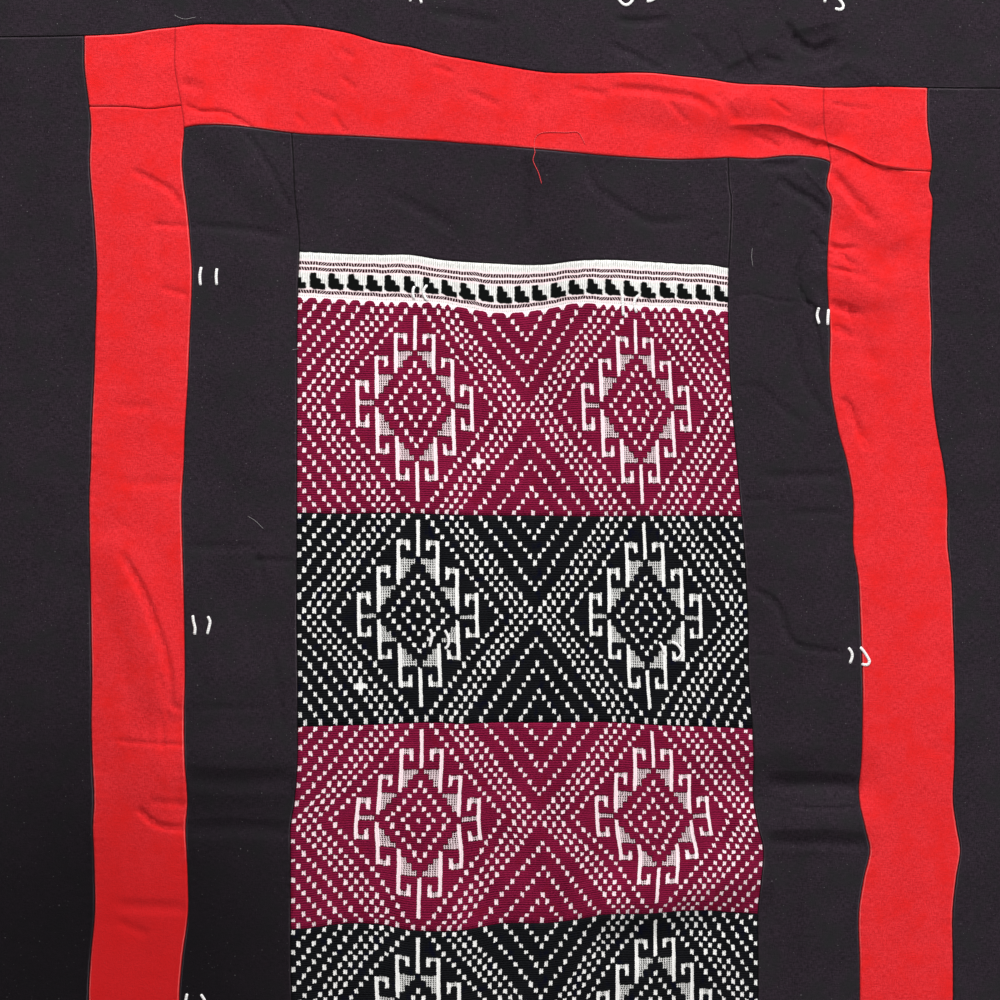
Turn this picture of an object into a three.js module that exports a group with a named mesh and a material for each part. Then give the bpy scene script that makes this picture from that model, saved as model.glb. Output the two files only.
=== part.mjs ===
// A woven wall hanging: a brocade panel set in an inner black, a red and an outer black cotton frame.
// Millimetres. The origin is the middle of the top edge, X runs across, Z up, and the front faces -Y.
import * as THREE from "three";

const cottonThickness = 2;
const panelThickness = 2.5;
const seamGap = 0.3;

// Breadths of the strips whose far side is out of sight, each measured from the seam inside it.
const redBreadth = 93;
const outerBreadth = 119;
const bandHeight = 209;
const headerHeight = 45;
const innerFootHeight = 115;
const redFootHeight = 90;
const outerFootHeight = 120;
const wanderKept = 0.7; // share of a seam's wander that the next line out of sight keeps
const topWanderKept = 0.25;
const centreX = 0; // the place where a strip out of sight has its named breadth
const centreZ = -700;
const stripFade = 90; // the top edge is held straight, and the folds grow over this much below it
const settlingRounds = 6; // enough for a grid place to settle where its column and row meet

// Lengthwise seams: how far across each lies, at heights z down the hanging.
const lengthwiseSeams = readTable("z innerLeft panelLeft panelRight innerRight", [
  [0, -343, -229, 207, 306],
  [-108, -340, -227, 209, 308],
  [-148, -340, -226, 210, 309],
  [-184, -334, -225, 212, 308],
  [-208, -331, -224, 213, 309],
  [-240, -333, -222, 213, 315],
  [-267, -331, -221, 214, 311],
  [-280, -329, -220, 216, 316],
  [-320, -325, -216, 215, 313],
  [-356, -323, -217, 213, 312],
  [-410, -325, -218, 213, 315],
  [-460, -327, -218, 215, 315],
  [-510, -330, -218, 219, 323],
  [-543, -331, -218, 222, 332],
  [-580, -333, -218, 225, 338],
  [-626, -332, -218, 229, 338],
  [-658, -331, -218, 231, 343],
  [-700, -330, -218, 233, 345],
  [-760, -329, -217, 234, 347],
  [-800, -330, -217, 237, 347],
  [-840, -329, -217, 239, 346],
  [-880, -327, -220, 239, 344],
  [-907, -329, -224, 243, 349],
  [-930, -328, -224, 248, 354],
  [-958, -327, -224, 246, 348],
  [-994, -327, -224, 243, 343],
  [-1040, -333, -224, 243, 344],
  [-1080, -336, -223, 243, 344],
  [-1220, -334, -221, 242, 343],
  [-1420, -331, -219, 240, 341],
  [-1600, -333, -220, 239, 340],
  [-1800, -332, -220, 238, 339],
]);

// Crosswise seams: the height of each one, at places x across the hanging.
const crosswiseNames = "x outerTop cornerTop innerTop panelTop bandOne bandTwo bandThree bandFour";
const crosswiseSeams = readTable(crosswiseNames, [
  [-560, -118, -188, -210, -330, -376, -593, -807, -1009],
  [-455, -117, -187, -210, -330, -376, -593, -807, -1008],
  [-390, -114, -187, -210, -330, -376, -593, -807, -1008],
  [-365, -110, -189, -210, -330, -376, -593, -807, -1008],
  [-340, -107, -186, -209, -330, -376, -593, -807, -1008],
  [-315, -104, -184, -205, -330, -376, -593, -807, -1008],
  [-275, -104, -184, -206, -330, -376, -593, -806, -1008],
  [-215, -105, -185, -213, -331, -376, -593, -806, -1008],
  [-170, -112, -188, -215, -333, -378, -594, -805, -1003],
  [-135, -122, -191, -217, -334, -380, -593, -804, -1004],
  [-105, -127, -194, -219, -334, -381, -593, -803, -1010],
  [-75, -135, -196, -221, -339, -382, -594, -803, -1011],
  [-53, -139, -198, -223, -341, -386, -595, -804, -1010],
  [-15, -146, -200, -226, -343, -391, -596, -802, -1004],
  [30, -153, -202, -230, -344, -388, -596, -802, -1004],
  [60, -154, -203, -233, -341, -383, -596, -802, -1000],
  [90, -154, -204, -236, -340, -384, -596, -802, -993],
  [135, -154, -205, -239, -342, -386, -596, -804, -992],
  [165, -157, -206, -240, -344, -387, -596, -805, -990],
  [195, -160, -206, -239, -345, -389, -596, -806, -990],
  [213, -163, -206, -238, -348, -391, -596, -807, -992],
  [242, -165, -206, -239, -348, -391, -597, -809, -994],
  [275, -166, -211, -236, -348, -391, -597, -809, -995],
  [309, -168, -223, -240, -348, -391, -597, -809, -995],
  [335, -168, -233, -256, -348, -391, -597, -809, -995],
  [359, -167, -246, -270, -348, -391, -597, -809, -995],
  [435, -168, -252, -275, -349, -392, -597, -809, -996],
  [560, -168, -252, -276, -350, -392, -597, -809, -996],
]);

// Soft folds: each runs from (x, z) to (toX, toZ), fades out over its breadth to either side and at
// both ends, and stands height towards the viewer, or sinks where the height is negative.
const folds = readTable("x z toX toZ breadth height", [
  [15, -240, 17, -640, 55, -6], // trough down the middle of the panel
  [88, -290, 84, -600, 48, 4],
  [60, -1000, 262, -940, 42, 9], // pucker under the right-hand motif of the third band
  [70, -1032, 262, -984, 36, -5],
  [170, -872, 372, -864, 42, -7], // the fold across the right-hand inner strip
  [215, -908, 372, -898, 38, 6],
  [-400, -848, -205, -846, 48, 4],
  [-345, -888, -205, -884, 40, -3],
  [-400, -610, -338, -800, 38, 5], // long crease in the left-hand red strip
  [-310, -180, -220, -300, 38, 4],
  [80, -165, 285, -196, 40, 5], // crease in the red strip above the panel
  [200, -207, 330, -226, 36, -4],
  [318, -245, 385, -330, 40, 6],
  [312, -342, 390, -380, 38, 5],
  [236, -640, 252, -1110, 48, -5],
  [-262, -250, -258, -700, 52, 3],
  [225, -140, 240, -168, 44, -4],
  [296, -108, 306, -150, 44, -4],
  [-150, -1130, -190, -1640, 75, -6],
  [120, -1120, 150, -1660, 75, 6],
  [-540, -1300, -290, -1335, 55, 5],
  [320, -1250, 550, -1290, 55, -5],
  [-585, -1640, -420, -1830, 95, 11],
  [590, -1650, 430, -1830, 95, 9],
]);

// Wide, shallow waves over the whole cloth: one wavelength across, one down.
const waves = readTable("across down phase height", [
  [640, 2100, 0.7, 4],
  [2400, 780, 2.1, 3],
  [410, 530, 4, 1.5],
]);

const blackCotton = { colour: "#302d32", roughness: 0.95, thickness: cottonThickness };
const redCotton = { colour: "#eb2d30", roughness: 0.92, thickness: cottonThickness };
const brocade = { colour: "#8c1437", roughness: 0.9, thickness: panelThickness };

// The lines that bound the pieces, with how many grid steps lead to the next line.
const columns = [
  { name: "edgeLeft", steps: 4, at: (z) => awayFrom("outerLeft", z, -outerBreadth) },
  { name: "outerLeft", steps: 3, at: (z) => awayFrom("innerLeft", z, -redBreadth) },
  { name: "innerLeft", steps: 4, at: (z) => valueAt(lengthwiseSeams, "innerLeft", z) },
  { name: "panelLeft", steps: 15, at: (z) => valueAt(lengthwiseSeams, "panelLeft", z) },
  { name: "panelRight", steps: 4, at: (z) => valueAt(lengthwiseSeams, "panelRight", z) },
  { name: "innerRight", steps: 3, at: (z) => valueAt(lengthwiseSeams, "innerRight", z) },
  { name: "outerRight", steps: 4, at: (z) => awayFrom("innerRight", z, redBreadth) },
  { name: "edgeRight", steps: 0, at: (z) => awayFrom("outerRight", z, outerBreadth) },
];
const rows = [
  { name: "edgeTop", steps: 5, at: (x) => topEdge(x) },
  { name: "outerTop", steps: 3, at: (x) => valueAt(crosswiseSeams, "outerTop", x) },
  { name: "cornerTop", steps: 1, at: (x) => valueAt(crosswiseSeams, "cornerTop", x) },
  { name: "innerTop", steps: 4, at: (x) => valueAt(crosswiseSeams, "innerTop", x) },
  { name: "panelTop", steps: 2, at: (x) => valueAt(crosswiseSeams, "panelTop", x) },
  { name: "bandOne", steps: 7, at: (x) => valueAt(crosswiseSeams, "bandOne", x) },
  { name: "bandTwo", steps: 7, at: (x) => valueAt(crosswiseSeams, "bandTwo", x) },
  { name: "bandThree", steps: 7, at: (x) => valueAt(crosswiseSeams, "bandThree", x) },
  { name: "bandFour", steps: 7, at: (x) => valueAt(crosswiseSeams, "bandFour", x) },
  { name: "bandFive", steps: 7, at: (x) => below("bandFour", x, bandHeight) },
  { name: "footHeader", steps: 2, at: (x) => below("bandFive", x, bandHeight) },
  { name: "panelFoot", steps: 4, at: (x) => below("footHeader", x, headerHeight) },
  { name: "innerFoot", steps: 3, at: (x) => below("panelFoot", x, innerFootHeight) },
  { name: "outerFoot", steps: 4, at: (x) => below("innerFoot", x, redFootHeight) },
  { name: "edgeFoot", steps: 0, at: (x) => below("outerFoot", x, outerFootHeight) },
];

// Each piece of cloth, by the lines on its four sides.
const pieces = [
  ["woven_panel", brocade, "panelLeft", "panelRight", "panelTop", "panelFoot"],
  ["inner_black_top", blackCotton, "panelLeft", "panelRight", "innerTop", "panelTop"],
  ["inner_black_foot", blackCotton, "panelLeft", "panelRight", "panelFoot", "innerFoot"],
  ["inner_black_left", blackCotton, "innerLeft", "panelLeft", "innerTop", "innerFoot"],
  ["inner_black_right", blackCotton, "panelRight", "innerRight", "innerTop", "innerFoot"],
  ["red_top", redCotton, "innerLeft", "innerRight", "outerTop", "innerTop"],
  ["red_foot", redCotton, "innerLeft", "innerRight", "innerFoot", "outerFoot"],
  ["red_corner_left", redCotton, "outerLeft", "innerLeft", "outerTop", "cornerTop"],
  ["red_corner_right", redCotton, "innerRight", "outerRight", "outerTop", "cornerTop"],
  ["red_left", redCotton, "outerLeft", "innerLeft", "cornerTop", "outerFoot"],
  ["red_right", redCotton, "innerRight", "outerRight", "cornerTop", "outerFoot"],
  ["outer_black_top", blackCotton, "edgeLeft", "edgeRight", "edgeTop", "outerTop"],
  ["outer_black_foot", blackCotton, "edgeLeft", "edgeRight", "outerFoot", "edgeFoot"],
  ["outer_black_left", blackCotton, "edgeLeft", "outerLeft", "outerTop", "outerFoot"],
  ["outer_black_right", blackCotton, "outerRight", "edgeRight", "outerTop", "outerFoot"],
];

// A table as one list per named column.
function readTable(names, rowList) {
  return Object.fromEntries(names.split(" ").map((name, i) => [name, rowList.map((row) => row[i])]));
}

// A smooth curve through a table's column: cubic between rows, its slope at a row being that from the
// row before to the row after.
function valueAt(table, name, place) {
  const [places] = Object.values(table);
  const values = table[name];
  const direction = Math.sign(places[1] - places[0]);
  const last = places.length - 1;
  let k = 0;
  while (k < last - 1 && (place - places[k + 1]) * direction > 0) k += 1;
  const slope = (i) => {
    const before = Math.max(i - 1, 0);
    const after = Math.min(i + 1, last);
    return (values[after] - values[before]) / (places[after] - places[before]);
  };
  const span = places[k + 1] - places[k];
  const t = THREE.MathUtils.clamp((place - places[k]) / span, 0, 1);
  const rise = values[k + 1] - values[k];
  const bend = (1 - t) * (slope(k) * span - rise) - t * (slope(k + 1) * span - rise);
  return values[k] + t * rise + t * (1 - t) * bend;
}

// The line one strip further out than a named one, which keeps a share of its wander.
function awayFrom(name, z, distance) {
  const inner = columns.find((line) => line.name === name);
  const middle = inner.at(centreZ);
  return distance + middle + wanderKept * (inner.at(z) - middle);
}

// The line one strip further down than a named one, which keeps a share of its wander.
function below(name, x, distance) {
  const upper = rows.find((line) => line.name === name);
  const middle = upper.at(centreX);
  return -distance + middle + wanderKept * (upper.at(x) - middle);
}

function topEdge(x) {
  const seamAt = (place) => valueAt(crosswiseSeams, "outerTop", place);
  return topWanderKept * (seamAt(x) - seamAt(centreX));
}

// How far the cloth stands towards the viewer at a place: the waves and the folds together.
function heightAt(x, z) {
  let height = 0;
  waves.across.forEach((across, i) => {
    const turn = 2 * Math.PI * (x / across + z / waves.down[i]) + waves.phase[i];
    height += waves.height[i] * Math.sin(turn);
  });
  folds.x.forEach((startX, i) => {
    const runX = folds.toX[i] - startX;
    const runZ = folds.toZ[i] - folds.z[i];
    const along = ((x - startX) * runX + (z - folds.z[i]) * runZ) / (runX * runX + runZ * runZ);
    const t = THREE.MathUtils.clamp(along, 0, 1);
    const aside = Math.hypot(x - startX - t * runX, z - folds.z[i] - t * runZ) / folds.breadth[i];
    const bell = Math.max(0, 1 - aside * aside) ** 2;
    height += folds.height[i] * bell * (1 - (2 * t - 1) ** 4);
  });
  return height * THREE.MathUtils.smoothstep(-z, 0, stripFade);
}

// The grid places along the lines, each a line's index and the share of the way to the next line.
function stations(lines) {
  return lines.flatMap((line, index) => {
    const count = Math.max(line.steps, 1);
    return Array.from({ length: count }, (_, step) => ({ index, share: step / count }));
  });
}

function between(lines, station, place) {
  const near = lines[station.index].at(place);
  if (station.share === 0) return near;
  return THREE.MathUtils.lerp(near, lines[station.index + 1].at(place), station.share);
}

// Where a grid column meets a grid row: each bends the other a little, so a few rounds settle it.
function crossing(column, row) {
  let x = 0;
  let z = 0;
  for (let round = 0; round < settlingRounds; round += 1) {
    x = between(columns, column, z);
    z = between(rows, row, x);
  }
  return { x, z };
}

const columnStations = stations(columns);
const rowStations = stations(rows);
const grid = rowStations.map((row) => columnStations.map((column) => crossing(column, row)));

// The first grid place on a named line.
function placeOf(lines, stationList, name) {
  const index = lines.findIndex((line) => line.name === name);
  return stationList.findIndex((station) => station.index === index);
}

// One piece as a closed sheet: the grid's front, its back and a wall round its four sides.
function sheet(left, right, top, foot, thickness) {
  const firstColumn = placeOf(columns, columnStations, left);
  const lastColumn = placeOf(columns, columnStations, right);
  const firstRow = placeOf(rows, rowStations, top);
  const lastRow = placeOf(rows, rowStations, foot);
  const across = lastColumn - firstColumn + 1;
  const down = lastRow - firstRow + 1;
  // Half of the seam's gap on each side that has a neighbour.
  const inset = (place, first, last, end) => {
    if (place === first && place > 0) return seamGap / 2;
    if (place === last && place < end) return -seamGap / 2;
    return 0;
  };
  const positions = [];
  for (const side of [-1, 1]) {
    for (let row = firstRow; row <= lastRow; row += 1) {
      for (let column = firstColumn; column <= lastColumn; column += 1) {
        const { x, z } = grid[row][column];
        const moveX = inset(column, firstColumn, lastColumn, columnStations.length - 1);
        const moveZ = -inset(row, firstRow, lastRow, rowStations.length - 1);
        positions.push(x + moveX, (side * thickness) / 2 - heightAt(x, z), z + moveZ);
      }
    }
  }
  const front = (row, column) => row * across + column;
  const back = (row, column) => across * down + front(row, column);
  const lastAcross = across - 1;
  const lastDown = down - 1;
  const faces = [];
  const quad = (a, b, c, d) => faces.push(a, b, c, a, c, d);
  for (let row = 0; row < lastDown; row += 1) {
    for (let column = 0; column < lastAcross; column += 1) {
      const corners = [[row, column], [row + 1, column], [row + 1, column + 1], [row, column + 1]];
      quad(...corners.map(([r, c]) => front(r, c)));
      quad(...corners.reverse().map(([r, c]) => back(r, c)));
    }
    quad(front(row, 0), back(row, 0), back(row + 1, 0), front(row + 1, 0));
    const edge = lastAcross;
    quad(front(row + 1, edge), back(row + 1, edge), back(row, edge), front(row, edge));
  }
  for (let column = 0; column < lastAcross; column += 1) {
    const [near, far] = [column, column + 1];
    quad(front(0, far), back(0, far), back(0, near), front(0, near));
    quad(front(lastDown, near), back(lastDown, near), back(lastDown, far), front(lastDown, far));
  }
  const geometry = new THREE.BufferGeometry();
  geometry.setAttribute("position", new THREE.Float32BufferAttribute(positions, 3));
  geometry.setIndex(faces);
  geometry.computeVertexNormals();
  return geometry;
}

const hanging = new THREE.Group();
for (const [name, cloth, left, right, top, foot] of pieces) {
  const material = new THREE.MeshStandardMaterial({
    color: cloth.colour,
    roughness: cloth.roughness,
    metalness: 0,
  });
  const mesh = new THREE.Mesh(sheet(left, right, top, foot, cloth.thickness), material);
  mesh.name = name;
  hanging.add(mesh);
}

export default hanging;
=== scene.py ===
import math
from functools import partial

import bpy
import numpy as np
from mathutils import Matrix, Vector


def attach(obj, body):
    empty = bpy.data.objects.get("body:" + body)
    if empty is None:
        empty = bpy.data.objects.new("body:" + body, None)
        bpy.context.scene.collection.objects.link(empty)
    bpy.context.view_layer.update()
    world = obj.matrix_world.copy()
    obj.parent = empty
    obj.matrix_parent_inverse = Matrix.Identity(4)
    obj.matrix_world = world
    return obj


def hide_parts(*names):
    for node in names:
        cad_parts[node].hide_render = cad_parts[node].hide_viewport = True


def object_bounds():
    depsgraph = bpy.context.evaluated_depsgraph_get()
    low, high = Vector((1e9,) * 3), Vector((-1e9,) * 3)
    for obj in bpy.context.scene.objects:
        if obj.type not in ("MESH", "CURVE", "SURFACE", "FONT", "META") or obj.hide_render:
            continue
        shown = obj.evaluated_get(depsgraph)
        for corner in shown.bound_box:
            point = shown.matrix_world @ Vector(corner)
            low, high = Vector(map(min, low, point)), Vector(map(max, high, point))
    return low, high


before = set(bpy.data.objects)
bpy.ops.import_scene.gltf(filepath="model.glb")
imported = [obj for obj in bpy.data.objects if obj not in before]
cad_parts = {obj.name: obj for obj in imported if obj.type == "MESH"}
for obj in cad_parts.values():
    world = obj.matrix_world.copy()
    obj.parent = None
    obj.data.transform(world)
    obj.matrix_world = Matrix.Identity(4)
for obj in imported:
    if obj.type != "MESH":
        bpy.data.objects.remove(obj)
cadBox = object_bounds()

# The woven wall hanging: a brocade panel in an inner black, a red and an outer black cotton frame.
# Places are in millimetres, X across, Z up and Y away from the viewer, and become metres in the meshes.
mm = 0.001
rng = np.random.default_rng(41)


def addObject(name, data):
    made = bpy.data.objects.new(name, data)
    bpy.context.scene.collection.objects.link(made)
    return made


# Camera and light
view = {
    "centreX": -15, "centreZ": -580,  # what the middle of the picture looks at
    "pictureWidth": 1000,  # how much of the cloth its width spans
    "lens": 100, "sensor": 36,
}


def makeCamera():
    data = bpy.data.cameras.new("camera")
    data.lens = view["lens"]
    data.sensor_width = view["sensor"]
    camera = addObject("camera", data)
    distance = view["pictureWidth"] * view["lens"] / view["sensor"]
    camera.location = (view["centreX"] * mm, -distance * mm, view["centreZ"] * mm)
    camera.rotation_euler = (math.pi / 2, 0, 0)
    bpy.context.scene.camera = camera


makeCamera()
bpy.context.scene.view_settings.view_transform = "Standard"

lamps = [
    # name, place (m), aimed at (m), size (m), power (W), colour
    ("key", (-0.1, -1.7, 2.3), (0, 0, -0.4), 1.3, 165, (1, 0.985, 0.97)),
    ("fill", (2.2, -1.5, -0.9), (0, 0, -0.7), 1.2, 24, (0.97, 0.98, 1)),
    ("behind", (0.9, 2.6, 0.6), (0, 0, -0.8), 2.0, 42, (1, 1, 1)),
]


def makeLamps():
    for name, place, aim, size, power, colour in lamps:
        data = bpy.data.lights.new(name, "AREA")
        data.size = size
        data.energy = power
        data.color = colour
        lamp = addObject(name, data)
        lamp.location = place
        x, y, z = np.array(aim) - np.array(place)
        lamp.rotation_euler = (math.atan2(math.hypot(x, y), -z), 0, math.atan2(-x, y))


makeLamps()
world = bpy.data.worlds.new("studio")
bpy.context.scene.world = world
world.use_nodes = True
world.node_tree.nodes["Background"].inputs["Color"].default_value = (0.94, 0.96, 1, 1)
world.node_tree.nodes["Background"].inputs["Strength"].default_value = 0.16


# The shape of the cloth: seams, folds and creases
def readTable(names, rowList):
    return dict(zip(names.split(), np.array(rowList, float).T))


# Lengthwise seams: how far across each lies, at heights z down the hanging.
lengthwiseSeams = readTable("z innerLeft panelLeft panelRight innerRight", [
    [0, -343, -229, 207, 306], [-108, -340, -227, 209, 308], [-148, -340, -226, 210, 309],
    [-184, -334, -225, 212, 308], [-208, -331, -224, 213, 309], [-240, -333, -222, 213, 315],
    [-267, -331, -221, 214, 311], [-280, -329, -220, 216, 316], [-320, -325, -216, 215, 313],
    [-356, -323, -217, 213, 312], [-410, -325, -218, 213, 315], [-460, -327, -218, 215, 315],
    [-510, -330, -218, 219, 323], [-543, -331, -218, 222, 332], [-580, -333, -218, 225, 338],
    [-626, -332, -218, 229, 338], [-658, -331, -218, 231, 343], [-700, -330, -218, 233, 345],
    [-760, -329, -217, 234, 347], [-800, -330, -217, 237, 347], [-840, -329, -217, 239, 346],
    [-880, -327, -220, 239, 344], [-907, -329, -224, 243, 349], [-930, -328, -224, 248, 354],
    [-958, -327, -224, 246, 348], [-994, -327, -224, 243, 343], [-1040, -333, -224, 243, 344],
    [-1080, -336, -223, 243, 344], [-1220, -334, -221, 242, 343], [-1420, -331, -219, 240, 341],
    [-1600, -333, -220, 239, 340], [-1800, -332, -220, 238, 339],
])

# Crosswise seams: the height of each one, at places x across the hanging.
crosswiseSeams = readTable("x outerTop cornerTop innerTop panelTop bandOne bandTwo bandThree bandFour", [
    [-560, -118, -188, -210, -330, -376, -593, -807, -1009],
    [-455, -117, -187, -210, -330, -376, -593, -807, -1008],
    [-390, -114, -187, -210, -330, -376, -593, -807, -1008],
    [-365, -110, -189, -210, -330, -376, -593, -807, -1008],
    [-340, -107, -186, -209, -330, -376, -593, -807, -1008],
    [-315, -104, -184, -205, -330, -376, -593, -807, -1008],
    [-275, -104, -184, -206, -330, -376, -593, -806, -1008],
    [-215, -105, -185, -213, -331, -376, -593, -806, -1008],
    [-170, -112, -188, -215, -333, -378, -594, -805, -1003],
    [-135, -122, -191, -217, -334, -380, -593, -804, -1004],
    [-105, -127, -194, -219, -334, -381, -593, -803, -1010],
    [-75, -135, -196, -221, -339, -382, -594, -803, -1011],
    [-53, -139, -198, -223, -341, -386, -595, -804, -1010],
    [-15, -146, -200, -226, -343, -391, -596, -802, -1004], [30, -153, -202, -230, -344, -388, -596, -802, -1004],
    [60, -154, -203, -233, -341, -383, -596, -802, -1000], [90, -154, -204, -236, -340, -384, -596, -802, -993],
    [135, -154, -205, -239, -342, -386, -596, -804, -992], [165, -157, -206, -240, -344, -387, -596, -805, -990],
    [195, -160, -206, -239, -345, -389, -596, -806, -990], [213, -163, -206, -238, -348, -391, -596, -807, -992],
    [242, -165, -206, -239, -348, -391, -597, -809, -994], [275, -166, -211, -236, -348, -391, -597, -809, -995],
    [309, -168, -223, -240, -348, -391, -597, -809, -995], [335, -168, -233, -256, -348, -391, -597, -809, -995],
    [359, -167, -246, -270, -348, -391, -597, -809, -995], [435, -168, -252, -275, -349, -392, -597, -809, -996],
    [560, -168, -252, -276, -350, -392, -597, -809, -996],
])

# Soft folds from (x, z) to (toX, toZ): they fade out over the breadth, and sink where height is negative.
folds = readTable("x z toX toZ breadth height", [
    [15, -240, 17, -640, 55, -6], [88, -290, 84, -600, 48, 4], [60, -1000, 262, -940, 42, 9],
    [70, -1032, 262, -984, 36, -5], [170, -872, 372, -864, 42, -7], [215, -908, 372, -898, 38, 6],
    [-400, -848, -205, -846, 48, 4], [-345, -888, -205, -884, 40, -3], [-400, -610, -338, -800, 38, 5],
    [-310, -180, -220, -300, 38, 4], [80, -165, 285, -196, 40, 5], [200, -207, 330, -226, 36, -4],
    [318, -245, 385, -330, 40, 6], [312, -342, 390, -380, 38, 5], [236, -640, 252, -1110, 48, -5],
    [-262, -250, -258, -700, 52, 3], [225, -140, 240, -168, 44, -4], [296, -108, 306, -150, 44, -4],
    [-150, -1130, -190, -1640, 75, -6], [120, -1120, 150, -1660, 75, 6], [-540, -1300, -290, -1335, 55, 5],
    [320, -1250, 550, -1290, 55, -5], [-585, -1640, -420, -1830, 95, 11], [590, -1650, 430, -1830, 95, 9],
])
waves = readTable("across down phase height", [[640, 2100, 0.7, 4], [2400, 780, 2.1, 3], [410, 530, 4, 1.5]])

# Creases too fine for the solids: breadth to each side, height, kind unless it is soft, and the x and z of
# each place passed through. A lap stands proud on the right of its run and drops off on its left.
creases = [
    # Inner black strips, top left
    (6, -1.2, -271, -210, -261, -224, -251, -239, -243, -252, -231, -277, -222, -291),
    (7, -0.9, -330, -306, -277, -309, -220, -318), (10, -0.9, -133, -271, -94, -289, -54, -314),
    (9, -1.3, 11, -236, 10, -280, 11, -322),
    (8, -1, 66, -234, 78, -265, 95, -279, 113, -291, 138, -303, 184, -299), (5, -0.7, 188, -324, 203, -313),
    # Inner black strips, right
    (7, -1.1, 243, -246, 284, -246), (7, -1.3, 261, -258, 280, -272, 300, -283, 312, -299),
    (4, 0.9, "sharp", 288, -248, 299, -261, 310, -274), (7, -0.8, 261, -283, 251, -316),
    (5, -0.9, 296, -311, 309, -330),
    (4.5, -1.5, "sharp", 294, -326, 284, -347, 283, -365, 291, -382, 300, -388, 300, -403, 304, -425, 309, -450),
    (12, 1.4, 303, -345, 297, -365, 304, -390), (4, -0.8, "sharp", 215, -380, 237, -374, 259, -380, 286, -383),
    (8, -0.8, 274, -398, 284, -447, 296, -472, 314, -501), (7, -0.8, 218, -469, 244, -467, 259, -482, 296, -509),
    (8, -0.7, 245, -556, 332, -556), (7, -0.6, 275, -593, 332, -593), (6, -0.6, 228, -580, 257, -580),
    (6, -1, 232, -666, 261, -684, 275, -719, 293, -728, 333, -734), (4, -0.7, "sharp", 232, -735, 260, -735),
    (13, -2.2, 252, -864, 300, -863, 347, -866), (4, -1.1, "sharp", 275, -886, 310, -888, 347, -886),
    (4, -0.7, "sharp", 241, -878, 265, -878), (12, -2.1, 250, -921, 300, -919, 353, -922),
    # Inner black strip, left
    (8, -0.8, -331, -627, -253, -627), (6, -1, -262, -640, -220, -641), (6, -0.9, -256, -635, -252, -669),
    (7, -0.8, -243, -728, -237, -767, -231, -812), (7, -0.6, -324, -788, -241, -788),
    (16, -2.5, -330, -857, -275, -860, -219, -858), (12, -1.8, -329, -909, -275, -907, -222, -911),
    # Outer black strip, top
    (6, -1.3, "sharp", -233, -80, -225, -94, -216, -106), (9, -1, -86, -93, -50, -98, -13, -106),
    (7, -1.5, 100, -101, 125, -103, 155, -100), (7, -1.1, 93, -125, 123, -139, 148, -153),
    (7, -1, 181, -116, 209, -151), (5, -1.5, "sharp", 220, -110, 227, -131, 244, -156),
    (8, -1.9, 271, -102, 280, -120, 300, -131, 322, -121), (7, -0.9, 248, -138, 268, -144),
    (7, -0.9, 327, -148, 343, -159),
    # Red strip above the panel
    (5.5, -1.7, "sharp", -331, -184, -316, -191, -292, -192, -279, -198, -261, -208),
    (9, -0.9, -334, -163, -310, -169), (5, -0.8, -205, -171, -178, -183), (5, -0.7, -175, -156, -158, -170),
    (5, -0.7, -177, -129, -160, -138), (5, -0.7, -183, -193, -169, -213), (5, -0.6, -221, -193, -211, -203),
    (5, -0.7, -84, -146, -60, -154), (6, -0.7, -48, -172, -15, -186), (6, -0.8, 56, -169, 93, -176),
    (7, -1.7, 93, -169, 133, -172, 152, -175, 182, -181, 203, -195), (5, -0.9, 147, -176, 173, -205),
    (8, -1, 202, -173, 222, -203),
    (9, 1.7, "lap", 400, -250, 378, -248, 359, -244, 335, -233, 309, -222, 296, -219, 280, -213, 261, -207, 239,
     -206, 211, -208), (4, -0.9, "sharp", 254, -180, 275, -194), (9, -0.7, 20, -176, 19, -229),
    (5, -0.8, 238, -214, 266, -228),
    # Red corner and strip, right
    (4, -0.9, "sharp", 316, -184, 335, -188, 355, -189), (8, -1.7, 314, -250, 331, -271, 347, -290, 361, -307),
    (5, -1.1, 313, -325, 326, -329, 342, -327), (5, -1.3, "sharp", 312, -348, 334, -352, 347, -357, 364, -368),
    (5, -0.9, 322, -333, 353, -358), (7, -1.8, 313, -383, 329, -388, 339, -394, 345, -409, 352, -430, 361, -459),
    (7, -0.8, 317, -406, 340, -418), (6, -1.5, 325, -477, 334, -487, 342, -508, 353, -531),
    # Red strip, left
    (6, -1.2, -384, -250, -358, -263, -343, -272, -333, -288), (5, -0.9, -364, -305, -326, -306),
    (7, -0.6, -357, -295, -357, -348), (6, -0.7, -354, -368, -325, -376), (8, -0.6, -400, -487, -362, -487),
    (9, -0.5, -400, -563, -328, -563),
    (7, -2.1, -394, -630, -371, -672, -357, -709, -349, -733, -344, -758, -343, -783, -329, -790),
    (5, -0.9, -353, -753, -346, -800), (5, -0.8, -353, -790, -351, -830),
    (5, -1, "sharp", -400, -820, -360, -823, -328, -824), (7, -0.8, -365, -881, -326, -884),
    (6, -1.6, -378, -887, -358, -904, -328, -909), (10, -1, -400, -986, -327, -988),
    (8, -0.7, -400, -1001, -366, -1016),
]
creaseGain, rightGain, rightFrom = 1.7, 1.5, 225  # the heights in the list are multiplied by these
lapDrop = 5  # a lap falls this many times more steeply than it rises
creaseStep = 7  # between the points of a crease's path

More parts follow.
